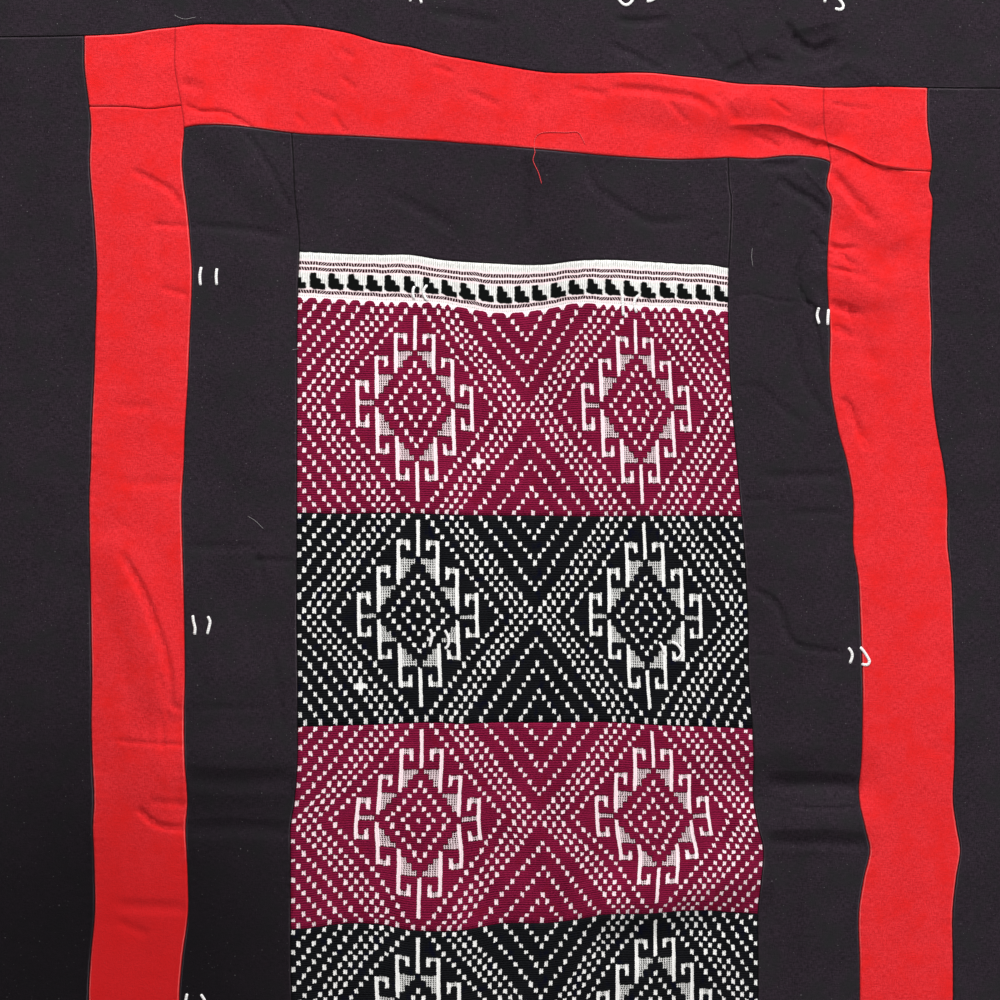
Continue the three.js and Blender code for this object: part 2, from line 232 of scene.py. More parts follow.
# Crumpled cloth: how strongly it crumples round each place, over spreads across and down.
crumpled = readTable("x z across down strength", [
    [330, -200, 60, 55, 1.1], [345, -350, 55, 150, 0.9], [285, -350, 40, 150, 0.6], [270, -130, 130, 34, 0.9],
    [-360, -150, 60, 60, 0.45], [-250, -100, 160, 40, 0.35], [-10, -175, 90, 40, 0.3], [290, -660, 60, 170, 0.35],
    [-365, -780, 50, 220, 0.4], [470, -600, 90, 500, 0.6], [-490, -700, 90, 600, 0.6], [0, -1600, 700, 300, 0.5],
])
crumple = {
    "calm": 0.16,  # strength where the cloth lies smooth
    "bend": 24, "bendSize": 55,  # how far, and over what size, the creases' lines are bent
    "ridges": ((44, 1.5), (21, 0.75), (10, 0.32)),  # size and height
    "swells": ((95, 0.9), (42, 0.30)),
}

sizes = {
    "redBreadth": 93, "outerBreadth": 119, "band": 209, "header": 45,
    "innerFoot": 115, "redFoot": 90, "outerFoot": 120,
    "wanderKept": 0.7, "topWanderKept": 0.25, "topFade": 90,
    "middleZ": -700,  # the height at which breadths are measured
}


# A smooth curve through a table's column: cubic between rows, its slope at a row being that from the
# row before to the row after.
def valueAt(table, name, place):
    places = next(iter(table.values()))
    values = table[name]
    turn = 1 if places[1] > places[0] else -1
    last = len(places) - 1
    k = np.clip(np.searchsorted(places * turn, place * turn) - 1, 0, last - 1)
    before = np.maximum(np.arange(last + 1) - 1, 0)
    after = np.minimum(np.arange(last + 1) + 1, last)
    slope = (values[after] - values[before]) / (places[after] - places[before])
    span = places[k + 1] - places[k]
    t = np.clip((place - places[k]) / span, 0, 1)
    rise = values[k + 1] - values[k]
    bend = (1 - t) * (slope[k] * span - rise) - t * (slope[k + 1] * span - rise)
    return values[k] + t * rise + t * (1 - t) * bend


def at(line, place):
    return line(np.array([place], float))[0]


# The line one strip beyond another, which keeps a share of its wander about its value at a given place.
def beyond(line, distance, centre):
    middle = at(line, centre)
    return lambda place: distance + middle + sizes["wanderKept"] * (line(place) - middle)


# The layout's lines from left to right and from the top down. A line gives its place from that along it.
def layoutLines():
    down, across = ({name: partial(valueAt, table, name) for name in list(table)[1:]}
                    for table in (lengthwiseSeams, crosswiseSeams))
    middle = sizes["middleZ"]
    outerLeft = beyond(down["innerLeft"], -sizes["redBreadth"], middle)
    outerRight = beyond(down["innerRight"], sizes["redBreadth"], middle)
    columns = {"edgeLeft": beyond(outerLeft, -sizes["outerBreadth"], middle), "outerLeft": outerLeft, **down,
               "outerRight": outerRight, "edgeRight": beyond(outerRight, sizes["outerBreadth"], middle)}
    seam = across["outerTop"]
    rows = {"edgeTop": lambda x: sizes["topWanderKept"] * (seam(x) - seam(np.zeros(1))), **across}
    last = rows["bandFour"]
    for name, size in (("bandFive", "band"), ("footHeader", "band"), ("panelFoot", "header"),
                       ("innerFoot", "innerFoot"), ("outerFoot", "redFoot"), ("edgeFoot", "outerFoot")):
        rows[name] = last = beyond(last, -sizes[size], 0)
    return columns, rows


columns, rows = layoutLines()


def indexOf(lines, name):
    return list(lines).index(name)


# Between two neighbouring lines, the share of the way is the station's fraction.
def between(lines, station, place):
    found = np.zeros(np.broadcast(station, place).shape)
    station = np.broadcast_to(station, found.shape)
    place = np.broadcast_to(place, found.shape)
    calls = list(lines.values())
    index = np.clip(np.floor(station).astype(int), 0, len(calls) - 2)
    for k in np.unique(index):
        mask = index == k
        near, far = calls[k](place[mask]), calls[k + 1](place[mask])
        found[mask] = near + (station - index)[mask] * (far - near)
    return found


# Where layout column u meets layout row v: each bends the other a little, so a few rounds settle it.
def placeAt(u, v):
    z = np.zeros(np.broadcast(u, v).shape)
    for _ in range(5):
        x = between(columns, u, z)
        z = between(rows, v, x)
    return x, z


# A smooth path through places, with a point every step or so: the spline whose slope at each place is
# half the way from the place before to the place after.
def smoothPath(places, step):
    places = np.reshape(places, (-1, 2)).astype(float)
    padded = np.concatenate([2 * places[:1] - places[1:2], places, 2 * places[-1:] - places[-2:-1]])
    found = []
    for before, start, end, after in zip(padded, padded[1:], padded[2:], padded[3:]):
        count = max(int(round(np.linalg.norm(end - start) / step)), 1)
        t = (np.arange(count) / count)[:, None]
        found.append(start + 0.5 * t * (end - before + t * (2 * before - 5 * start + 4 * end - after
                                                            + t * (3 * start - before - 3 * end + after))))
    return np.concatenate(found + [places[-1:]])


# Each fold's height is its own times (1 - (distance / breadth)^2)^2, and fades to nothing at both ends.
def foldHeight(x, z):
    height = np.zeros_like(x)
    for startX, startZ, toX, toZ, breadth, tall in zip(*folds.values()):
        distance, _, t = nearestOn(np.array([[startX, startZ], [toX, toZ]]), x, z)
        height += tall * np.maximum(0, 1 - (distance / breadth) ** 2) ** 2 * (1 - (2 * t - 1) ** 4)
    return height


# The nearest place of a path to each point: how far off, on which side, and what share of the way along.
def nearestOn(path, x, z):
    run = np.diff(path, axis=0)
    length = np.hypot(run[:, 0], run[:, 1])
    before = np.concatenate([[0], np.cumsum(length)])
    distance = np.full(x.shape, np.inf)
    side, along = np.zeros_like(x), np.zeros_like(x)
    for k, (runX, runZ) in enumerate(run):
        offX, offZ = x - path[k, 0], z - path[k, 1]
        t = np.clip((offX * runX + offZ * runZ) / length[k] ** 2, 0, 1)
        apart = np.hypot(offX - t * runX, offZ - t * runZ)
        closer = apart < distance
        distance = np.where(closer, apart, distance)
        side = np.where(closer, runX * offZ - runZ * offX, side)
        along = np.where(closer, before[k] + t * length[k], along)
    return distance, side, along / before[-1]


def readCrease(breadth, tall, *rest):
    kind, places = (rest[0], rest[1:]) if isinstance(rest[0], str) else ("soft", rest)
    tall = creaseGain * tall * (rightGain if places[0] > rightFrom else 1)
    return breadth, tall, kind, smoothPath(places, creaseStep)


creasePaths = [readCrease(*row) for row in creases]


# A soft crease is (1 - q^2)^2 and a sharp one (1 - q)^2, where q is distance / breadth. A lap is a sharp
# one that falls off quickly on its left. All fade at the ends.
def creaseHeight(x, z):
    height = np.zeros_like(x)
    for breadth, tall, kind, path in creasePaths:
        low, high = path.min(0) - breadth, path.max(0) + breadth
        close = (x > low[0]) & (x < high[0]) & (z > low[1]) & (z < high[1])
        if not close.any():
            continue
        distance, side, share = nearestOn(path, x[close], z[close])
        q = distance / breadth
        if kind == "lap":
            q = np.where(side > 0, lapDrop * q, q)
        profile = np.maximum(0, 1 - (q ** 2 if kind == "soft" else q)) ** 2
        height[close] += tall * profile * (1 - (2 * share - 1) ** 6)
    return height


# Random values on a square lattice of the given size, blended smoothly between its knots.
def latticeNoise(x, z, size, salt):
    lowX, lowZ, width, height = -750, -2000, 1500, 2200
    knots = np.random.default_rng(salt).random((int(height / size) + 3, int(width / size) + 3))
    u, w = (x - lowX) / size, (z - lowZ) / size
    i, j = np.floor(u).astype(int), np.floor(w).astype(int)
    s, t = (share * share * (3 - 2 * share) for share in (u - i, w - j))
    near = knots[j, i] + s * (knots[j, i + 1] - knots[j, i])
    far = knots[j + 1, i] + s * (knots[j + 1, i + 1] - knots[j + 1, i])
    return near + t * (far - near)


# Crumples: noise folded at its middle value leaves V-shaped creases. They are strong only where the
# table says so. Swells are plain noise.
def crumpleHeight(x, z):
    strength = np.full(x.shape, crumple["calm"])
    for centreX, centreZ, across, down, strong in zip(*crumpled.values()):
        strength += strong * np.exp(-((x - centreX) / across) ** 2 - ((z - centreZ) / down) ** 2)
    bentX, bentZ = (place + crumple["bend"] * (latticeNoise(x, z, crumple["bendSize"], salt) - 0.5)
                    for place, salt in ((x, 3), (z, 4)))
    height = np.zeros_like(x)
    for size, tall in crumple["ridges"]:
        height += tall * strength * np.abs(2 * latticeNoise(bentX, bentZ, size, size) - 1)
    for size, tall in crumple["swells"]:
        height += tall * (latticeNoise(bentX, bentZ, size, size) - 0.5)
    return height


# How far the cloth stands towards the viewer: long waves, folds, creases and crumples together.
def clothHeight(x, z, crumpling=1.0):
    height = foldHeight(x, z) + creaseHeight(x, z) + crumpling * crumpleHeight(x, z)
    for across, down, phase, tall in zip(*waves.values()):
        height += tall * np.sin(2 * math.pi * (x / across + z / down) + phase)
    fade = np.clip(-z / sizes["topFade"], 0, 1)
    return height * fade ** 2 * (3 - 2 * fade)


# Mesh helpers
def gridFaces(grid):
    return np.stack([grid[:-1, :-1], grid[1:, :-1], grid[1:, 1:], grid[:-1, 1:]], 2).reshape(-1, 4)


def ringOf(grid):
    return np.concatenate([grid[0, :-1], grid[:-1, -1], grid[-1, :0:-1], grid[:0:-1, 0]])


# A closed cloth from the points of its front and the fewer of its back, one to every few in front. A
# wall triangle joins each front edge to the nearest back point, and each back edge to the front one midway.
def closedCloth(front, back, every):
    frontGrid = np.arange(front[..., 0].size).reshape(front.shape[:2])
    backGrid = np.arange(back[..., 0].size).reshape(back.shape[:2]) + frontGrid.size
    fine, coarse = ringOf(frontGrid), ringOf(backGrid)
    nearest = ((np.arange(len(fine)) + 0.5) / every + 0.5).astype(int) % len(coarse)
    midway = (np.arange(len(coarse)) * every + every // 2) % len(fine)
    walls = np.concatenate([np.stack([fine, np.roll(fine, -1), coarse[nearest]], 1),
                            np.stack([fine[midway], np.roll(coarse, -1), coarse], 1)])
    points = np.concatenate([front.reshape(-1, 3), back.reshape(-1, 3)])
    return points, [gridFaces(frontGrid), gridFaces(backGrid)[:, ::-1], walls]


def joinParts(parts):
    first = np.cumsum([0] + [len(points) for points, _ in parts[:-1]])
    points = np.concatenate([points for points, _ in parts])
    return points, [faces + start for start, (_, sets) in zip(first, parts) for faces in sets]


# A mesh object from its points (mm) and face sets, with a UV map of that name where one is given.
def makeObject(name, points, faceSets, materials, slots=None, uvName=None, uv=None):
    mesh = bpy.data.meshes.new(name)
    corners = np.concatenate([np.full(len(faces), faces.shape[1]) for faces in faceSets])
    loops = np.concatenate([faces.ravel() for faces in faceSets])
    for made, count in ((mesh.vertices, len(points)), (mesh.loops, len(loops)), (mesh.polygons, len(corners))):
        made.add(count)
    mesh.vertices.foreach_set("co", (np.asarray(points) * mm).astype(np.float32).ravel())
    mesh.loops.foreach_set("vertex_index", loops.astype(np.int32))
    mesh.polygons.foreach_set("loop_start", (np.cumsum(corners) - corners).astype(np.int32))
    for material in materials:
        mesh.materials.append(material)
    if slots is not None:
        mesh.polygons.foreach_set("material_index", slots.astype(np.int32))
    mesh.update(calc_edges=True)
    # Only the walls and caps are triangles, and they stay flat, so that their edges are crisp.
    mesh.polygons.foreach_set("use_smooth", corners == 4)
    if uvName:
        mesh.uv_layers.new(name=uvName).data.foreach_set("uv", uv[loops].astype(np.float32).ravel())
    made = addObject(name, mesh)
    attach(made, "root")
    return made


def setValues(mesh, name, values):
    kind, domain, field = ("FLOAT_VECTOR", "FACE", "vector") if values.ndim > 1 else ("FLOAT", "POINT", "value")
    mesh.attributes.new(name, kind, domain).data.foreach_set(field, values.astype(np.float32).ravel())


# Material helpers. A wire carries a value between nodes, and sums and products of wires make Math nodes.
current = {}  # the material that new nodes go into


class Wire:
    def __init__(self, made, output=0):
        self.socket = made.outputs[output]

    def __add__(self, other):
        return calc("ADD", self, other)

    def __sub__(self, other):
        return calc("SUBTRACT", self, other)

    def __rsub__(self, other):
        return calc("SUBTRACT", other, self)

    def __mul__(self, other):
        return calc("MULTIPLY", self, other)

    def __truediv__(self, other):
        return calc("DIVIDE", self, other)


def newMaterial(name):
    current["material"] = bpy.data.materials.new(name)
    current["material"].use_nodes = True
    current["material"].node_tree.nodes.clear()


def node(kind, inputs=None, **settings):
    tree = current["material"].node_tree
    made = tree.nodes.new(kind)
    for key, value in settings.items():
        setattr(made, key, value)
    for key, value in (inputs or {}).items():
        if isinstance(value, Wire):
            tree.links.new(value.socket, made.inputs[key])
        else:
            made.inputs[key].default_value = value
    return made


def calc(operation, *values):
    return Wire(node("ShaderNodeMath", dict(enumerate(values)), operation=operation))


least, most, fract, floor, absolute, sine, over = (partial(calc, operation) for operation in (
    "MINIMUM", "MAXIMUM", "FRACT", "FLOOR", "ABSOLUTE", "SINE", "GREATER_THAN"))
scaled = partial(calc, "MULTIPLY_ADD")  # the first times the second, plus the third


def away(value, middle):
    return absolute(value - middle)


# A soft step: 0 below low, 1 above high.
def ramp(value, low, high):
    inputs = {"Value": value, "From Min": low, "From Max": high}
    return Wire(node("ShaderNodeMapRange", inputs, interpolation_type="SMOOTHSTEP"), "Result")


def blend(share, first, second):
    first, second = (value if isinstance(value, Wire) else (*value, 1) for value in (first, second))
    return Wire(node("ShaderNodeMix", {0: share, 6: first, 7: second}, data_type="RGBA"), 2)


def noise(place, scale, detail=2.0, roughness=0.5):
    inputs = {"Vector": place, "Scale": scale, "Detail": detail, "Roughness": roughness}
    return Wire(node("ShaderNodeTexNoise", inputs), "Fac")


def vector(x, y, z=0.0):
    return Wire(node("ShaderNodeCombineXYZ", {"X": x, "Y": y, "Z": z}))


def split(source):
    made = node("ShaderNodeSeparateXYZ", {"Vector": source})
    return [Wire(made, axis) for axis in range(3)]


def dice(dimensions, place, output="Color"):
    inputs = {"W" if dimensions == "1D" else "Vector": place}
    return Wire(node("ShaderNodeTexWhiteNoise", inputs, noise_dimensions=dimensions), output)


def attribute(name, output="Fac"):
    return Wire(node("ShaderNodeAttribute", attribute_name=name), output)


def uvOf(name):
    return split(Wire(node("ShaderNodeUVMap", uv_map=name)))[:2]


def objectPlace():
    return Wire(node("ShaderNodeTexCoord"), "Object")


# Sheen, gloss and sharpness stand on the shader itself.
def finishSurface(colour, height, depth, roughness, sheen, gloss=0.12):
    bump = node("ShaderNodeBump", {"Height": height, "Strength": 1.0, "Distance": depth * mm})
    shader = node("ShaderNodeBsdfPrincipled", {
        "Base Color": colour, "Roughness": roughness, "Specular IOR Level": gloss, "Sheen Weight": sheen,
        "Sheen Roughness": 0.5, "Normal": Wire(bump),
    })
    node("ShaderNodeOutputMaterial", {"Surface": Wire(shader)}).is_active_output = True
    return current["material"]


# Plain-weave cotton: over-and-under threads, thicker threads here and there, uneven dye, lint, a painted shadow
# low on the left, and a pale line along the rolled edge beside a seam, painted as its highlight.
cottonLooks = {
    "black": {
        "light": (0.031, 0.0215, 0.031), "dark": (0.009, 0.0062, 0.0095), "tint": (0.0155, 0.0155, 0.0170),
        "paintedHighlight": (0.070, 0.056, 0.068), "seamShade": (0.003, 0.002, 0.003), "seamDarkness": 0.75,
        "paintedShadow": (0.0028, 0.0020, 0.0032), "paintedShadowFrom": 0.42, "lint": 0.4,
    },
    "red": {
        "light": (0.78, 0.032, 0.040), "dark": (0.56, 0.010, 0.014), "tint": (0.70, 0.013, 0.013),
        "paintedHighlight": (0.86, 0.15, 0.15), "seamShade": (0.16, 0.006, 0.008), "seamDarkness": 0.6,
        "paintedShadow": (0.52, 0.0080, 0.0100), "paintedShadowFrom": 0.28, "lint": 0.10,
    },
    "pitch": 0.62,  # from thread to thread
    "slub": 1.6, "mottle": 0.5, "depth": 0.18, "sheen": 0.02,
    "paintedShadowAt": (-0.42, 0, -1.09), "paintedShadowTo": 0.08,  # the middle of the painted shadow low on the left, in metres
    "seamFade": (0.88, 0.22),  # the seam's shade fades in between these distances from it
    # The pale line painted as a highlight on the roll lies about this far from the seam, over this reach.
    "paintedHighlightMiddle": 1.35, "paintedHighlightReach": 0.65,
}


def cottonMaterial(name):
    look = {**cottonLooks, **cottonLooks[name]}
    newMaterial(name + "_cotton")
    place = objectPlace()
    x, _, z = split(place)
    flat = vector(x, z)
    wander = noise(flat, 90) * 0.0012
    turns = math.pi / (look["pitch"] * mm)
    weave = sine((x + wander) * turns) * sine((z + wander) * turns)
    # Slubs: noise drawn out along each thread direction.
    slub = noise(vector(x * 170, z * 800), 1, 3, 0.65) + noise(vector(x * 800, z * 230), 1, 3, 0.65) - 1.0
    mottle = noise(flat, 20, 4, 0.65) - 0.5
    shade = slub * look["slub"] + mottle * look["mottle"] + scaled(weave, 0.12, 0.52)
    colour = blend(ramp(shade, 0.0, 1.0), look["dark"], look["light"])
    colour = blend(ramp(noise(flat, 34, 3, 0.6), 0.40, 0.80), colour, look["tint"])
    # Painted shadow: the cloth darkens towards a place low on the left.
    off = Wire(node("ShaderNodeVectorMath", {0: place, 1: look["paintedShadowAt"]}, operation="DISTANCE"), "Value")
    colour = blend(ramp(off, look["paintedShadowFrom"], look["paintedShadowTo"]) * 0.85, colour, look["paintedShadow"])
    lint = ramp(noise(flat, 520, 1), 0.735, 0.80)
    colour = blend(lint * look["lint"], colour, (0.30, 0.29, 0.30))
    # Beside a seam: a pale line on the roll, painted as its highlight, and a painted shade at the seam itself.
    seam = attribute("seam")
    edge = seam + scaled(noise(flat, 120), 1.2, -0.6)
    paintedHighlight = ramp(away(edge, look["paintedHighlightMiddle"]), look["paintedHighlightReach"], 0.1) * ramp(noise(flat, 9, 1), 0.40, 0.62)
    colour = blend(paintedHighlight * 0.7, colour, look["paintedHighlight"])
    shadeLine = most(ramp(seam, *look["seamFade"]), attribute("lapShade"))
    colour = blend(shadeLine * look["seamDarkness"], colour, look["seamShade"])
    height = weave * 0.5 + (slub * 1.2 + noise(flat, 420, 3, 0.7) * 3.0)
    return finishSurface(colour, height, look["depth"], 0.92, look["sheen"])


blackCotton = cottonMaterial("black")
redCotton = cottonMaterial("red")


# Stitches and threads: each is a round cord on the cloth, which dives into it at both ends.
threadLooks = {
    "tie_thread": ((0.90, 0.89, 0.88), (0.70, 0.69, 0.69), 0.35),
    "red_thread": ((0.55, 0.02, 0.03), (0.80, 0.10, 0.11), 0.10),
    "lint_thread": ((0.16, 0.155, 0.16), (0.30, 0.29, 0.30), 0.05),
}


def threadMaterial(name):
    light, dark, depth = threadLooks[name]
    newMaterial(name)
    u, v = uvOf("turns")
    # Two plies wind round each other: the ply is where along plus round comes near a whole number.
    # Between the plies the colour is painted darker, as their shade.
    ply = away(fract(scaled(u, 0.42, v)), 0.5)
    fuzz = noise(vector(u * 3, v * 9), 1, 3, 0.7)
    tone = ply * 1.1 + scaled(fuzz, 0.8, -0.4)
    return finishSurface(blend(ramp(tone, 0.0, 0.55), dark, light), ply + fuzz * 0.4, depth, 0.85, 0.05)


stitch = {"width": 2.9, "depth": 1.7, "sides": 10, "step": 0.9, "dive": 1.4, "diveLength": 2.2, "lift": 1.0,
          "liftOnPanel": 1.5}
bar = {"half": 9, "lean": 1, "halfWidth": 1.2, "halfDepth": 0.8, "step": 2, "dive": 1.2, "lift": 1.9}
loose = {"step": 1.2, "dive": 0.3, "lift": 0.5}
# By the piece that the stitches are sewn through: the x and z of the places that each one passes over.
stitches = {
    "outer_black_top": [
        (-104, -68, -104.8, -76, -104.6, -82.5), (-96.5, -70, -95.2, -77, -93.3, -84.3),
        (99, -73, 102.5, -79, 107, -84.5, 111, -86, 115, -84, 118.5, -79, 120, -73),
        (131, -82.6, 136, -81.5, 141, -78.5, 144.5, -74), (311, -71, 310.2, -78, 309, -83.5),
        (317, -73, 323, -79, 326.5, -83, 328, -86.5, 326.8, -89.3, 323.5, -90, 319.2, -88.8),
        (-314, -56, -315, -64, -314.5, -72), (-299, -55, -298, -63, -299, -71),
    ],
    "inner_black_left": [
        (-313.7, -346.6, -315.1, -355.9, -314.4, -365.8), (-298, -348, -298.8, -356.3, -298.2, -365.6),
        (-321.5, -694.6, -320.7, -701, -319.1, -708, -319.7, -714.8),
        (-306.7, -695.6, -304.3, -701, -305.2, -707, -307.2, -714.2), (-328, -1073.5, -329.5, -1082, -329, -1090),
        (-314.4, -1074, -310.2, -1081, -308, -1090),
    ],
    "inner_black_right": [
        (303.7, -387.3, 302, -395.5, 304, -404.4), (313.4, -389, 312.7, -397, 312.4, -405.6),
        (332.6, -727, 336, -732, 336.4, -737, 333.9, -743.4),
    ],
    "red_right": [
        (344.4, -726.5, 348.5, -731.5, 352, -737, 353.7, -741, 351.5, -744.3, 345.6, -743.8),
    ],
    "woven_band_1": [
        (-100.5, -365.4, -102, -369, -102.2, -374, -100.8, -378.8),
        (-88, -364.2, -91, -368.5, -91.8, -372.5, -90, -377, -87.2, -380.6),
        (107, -374, 107.5, -386, 108.2, -396.4), (123.8, -375.2, 119.8, -380, 119.2, -386, 121.5, -393.4),
    ],
    "woven_band_2": [
        (-85.2, -708.6, -83, -714.5, -83.7, -720, -85.7, -727.3),
        (-70.4, -709.6, -67.2, -716, -66.2, -722, -67.7, -726.7, -71, -728.8),
        (144.2, -721.5, 147.5, -727.5, 149.4, -734.4),
        (156, -721.8, 161.5, -724, 165.5, -729, 166.3, -734, 163, -738.3, 158.2, -740),
    ],
}
# Out of the picture the pairs go on: heights, places across and the pieces they are sewn through.
hiddenPairs = {
    "rows": (-1430, -1730), "across": (-305, -95, 118, 322), "half": 8, "length": 17, "lean": 1.4,
    "owners": (("inner_black_left", "woven_band_5", "woven_band_5", "inner_black_right"),
               ["outer_black_foot"] * 4),
}
# Where a pair passes behind the cloth, a bar shows there.
backBars = [(-100, -76), (112, -80), (318, -78), (-306, -64), (-306, -356), (-313, -705), (-318, -1082),
            (308, -396), (341, -735), (-95, -372), (114, -385), (-77, -718), (156, -732)]
looseThreads = [
    # Name, half thickness, material, the piece it lies on, and the x and z of the places passed over.
    ("loose_red_thread", 0.36, "red_thread", "red_top", 70.1, -225.1, 66.7, -218.3, 62, -212.6, 50.7, -213,
     33.6, -212.6, 24.4, -214.3, 19.9, -219.4, 19.3, -228.6, 19.9, -233, 18, -240, 19.9, -245.7, 23.3, -252.6,
     26.7, -264),
    ("lint_hair_middle", 0.22, "lint_thread", "inner_black_right", 237, -328, 236.3, -337, 237.6, -347),
    ("lint_hair_left", 0.25, "lint_thread", "inner_black_left", -267, -596, -259, -601, -251, -609),
    ("lint_hair_low", 0.22, "lint_thread", "inner_black_left", -224, -430, -214, -428.6, -204, -430.5),
    ("lint_hair_top", 0.25, "lint_thread", "outer_black_top", -341, -95, -331, -99, -319, -97),
]


# A cord round a path in the plane of the cloth. Its cross-section is an ellipse of half width and half
# depth, it narrows to rounded ends, and its middle line sinks by dive near them.
def cordMesh(path, width, depth, lift, dive, facing=1):
    sides = stitch["sides"]
    run = np.gradient(path, axis=0)
    run /= np.linalg.norm(run, axis=1)[:, None]
    length = np.concatenate([[0], np.cumsum(np.linalg.norm(np.diff(path, axis=0), axis=1))])
    toEnd = np.minimum(length, length[-1] - length)
    rounded = np.where(toEnd > width, 1, np.sqrt(np.clip(1 - (1 - toEnd / width) ** 2, 0.06, 1)))[:, None]
    sink = dive * np.clip(1 - toEnd / stitch["diveLength"], 0, 1) ** 2
    middleY = -clothHeight(path[:, 0], path[:, 1]) - facing * (lift - sink)
    turn = 2 * math.pi * np.arange(sides) / sides - facing * math.pi / 2
    across = rounded * width * np.cos(turn)
    points = np.stack([path[:, :1] + run[:, 1:] * across, middleY[:, None] - rounded * depth * np.sin(turn),
                       path[:, 1:] - run[:, :1] * across], 2)
    ring = np.arange(points[..., 0].size).reshape(-1, sides)
    following = np.roll(ring, -1, axis=1)
    tips = ring.size + np.array([[0], [1]]) + 0 * ring[:1]
    caps = np.concatenate([np.stack([tips[0], ring[0], following[0]], 1),
                           np.stack([tips[1], following[-1], ring[-1]], 1)])
    turns = np.stack(np.broadcast_arrays(length[:, None], np.arange(sides) / sides), 2).reshape(-1, 2)
    turns = np.concatenate([turns, [[0, 0.5], [length[-1], 0.5]]])
    ends = np.array([points[0].mean(0), points[-1].mean(0)])
    tube = gridFaces(np.concatenate([ring, ring[:, :1]], 1))
    return (np.concatenate([points.reshape(-1, 3), ends]), [tube, caps]), turns


def makeCords(name, cords, material):
    points, faceSets = joinParts([mesh for mesh, _ in cords])
    turns = np.concatenate([turns for _, turns in cords])
    return makeObject(name, points, faceSets, [material], None, "turns", turns)


# The cords sewn or lying on each piece, by its name.
def makeStitches():
    white = threadMaterial("tie_thread")
    sewn = {owner: list(paths) for owner, paths in stitches.items()}
    for z, owners in zip(hiddenPairs["rows"], hiddenPairs["owners"]):
        for x, owner in zip(hiddenPairs["across"], owners):
            for side in (-1, 1):
                wander = rng.uniform(-1, 1, 3) * hiddenPairs["lean"]
                heights = z + np.array([0.5, 0, -0.5]) * hiddenPairs["length"]
                path = np.stack([x + side * hiddenPairs["half"] + wander, heights], 1)
                sewn.setdefault(owner, []).append(path)
    found = {}
    for owner, paths in sewn.items():
        lift = stitch["liftOnPanel" if owner.startswith("woven") else "lift"]
        cords = [cordMesh(smoothPath(places, stitch["step"]), stitch["width"] / 2, stitch["depth"] / 2, lift,
                          stitch["dive"]) for places in paths]
        found[owner] = [makeCords(owner + "_stitches", cords, white)]
    bars = []
    for x, z in backBars + [(x, z) for z in hiddenPairs["rows"] for x in hiddenPairs["across"]]:
        places = (x - bar["half"], z + bar["lean"], x, z - bar["lean"], x + bar["half"], z)
        bars.append(cordMesh(smoothPath(places, bar["step"]), bar["halfWidth"], bar["halfDepth"], bar["lift"],
                             bar["dive"], -1))
    found["woven_band_1"].append(makeCords("back_stitches", bars, white))
    for name, half, look, owner, *places in looseThreads:
        cord = cordMesh(smoothPath(places, loose["step"]), half, half, loose["lift"] + half, loose["dive"])
        found.setdefault(owner, []).append(makeCords(name, [cord], threadMaterial(look)))
    print("stitches made:", sum(len(paths) for paths in sewn.values()))
    return found


sewnOn = makeStitches()


def declareCloth(standsFor, flat):
    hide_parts(standsFor)
    flat = flat * mm


# The cotton strips
strip = {
    "thickness": 0.9,
    "fineStep": 1.8, "coarseStep": 6.0,
    "fineAcross": (-396, 366), "fineDown": (-1086, -70),  # the part in the picture
    "seamStep": 0.45, "seamGrowth": 0.30,  # the step at a seam, and how it grows away from it
    "backEvery": 4,
    "roll": 1.6, "rollDepth": 1.7, "hemRoll": 0.5, "quiet": 0.35,  # the cloth turns back over the seam
    "ridge": 0.22, "ridgeAt": 2.6, "ridgeBreadth": 1.5,
    "pucker": 0.26, "puckerLength": 11, "puckerReach": 8, "puckerBend": 1.7, "puckerBends": 23, "puckerSwells": 61,
    "lap": 0.12,  # neighbours meet this far over the seam line
    "lapShade": 1.25, "quietShade": 0.75, "quietReach": 0.75,
    "allowance": 9, "hem": 16, "allowanceThickness": 0.5, "allowanceStep": 8, "allowanceGap": 0.2,
    "allowanceRoll": 0.3, "allowanceFrom": 0.5, "allowanceInset": 2,
    "samples": 4,  # to a millimetre, where the stations are worked out
}
# Each strip and the layout lines at its left, right, top and foot.
stripPieces = [
    "inner_black_top panelLeft panelRight innerTop panelTop",
    "inner_black_foot panelLeft panelRight panelFoot innerFoot",
    "inner_black_left innerLeft panelLeft innerTop innerFoot",
    "inner_black_right panelRight innerRight innerTop innerFoot",
    "red_top innerLeft innerRight outerTop innerTop",
    "red_foot innerLeft innerRight innerFoot outerFoot",
    "red_corner_left outerLeft innerLeft outerTop cornerTop",
    "red_corner_right innerRight outerRight outerTop cornerTop",
    "red_left outerLeft innerLeft cornerTop outerFoot",
    "red_right innerRight outerRight cornerTop outerFoot",
    "outer_black_top edgeLeft edgeRight edgeTop outerTop",
    "outer_black_foot edgeLeft edgeRight outerFoot edgeFoot",
    "outer_black_left edgeLeft outerLeft outerTop outerFoot",
    "outer_black_right outerRight edgeRight outerTop outerFoot",
]


# Where the layout lines from first to last lie at the part's middle, and their number in the layout.
def placesOf(lines, first, last):
    index = np.arange(indexOf(lines, first), indexOf(lines, last) + 1)
    middle = sizes["middleZ"] if lines is columns else 0
    return np.array([at(list(lines.values())[k], middle) for k in index]), index


# The layout stations at given distances along from the first line.
def stationsAt(lines, first, last, distance):
    places, index = placesOf(lines, first, last)
    return np.interp(distance, np.abs(places - places[0]), index)


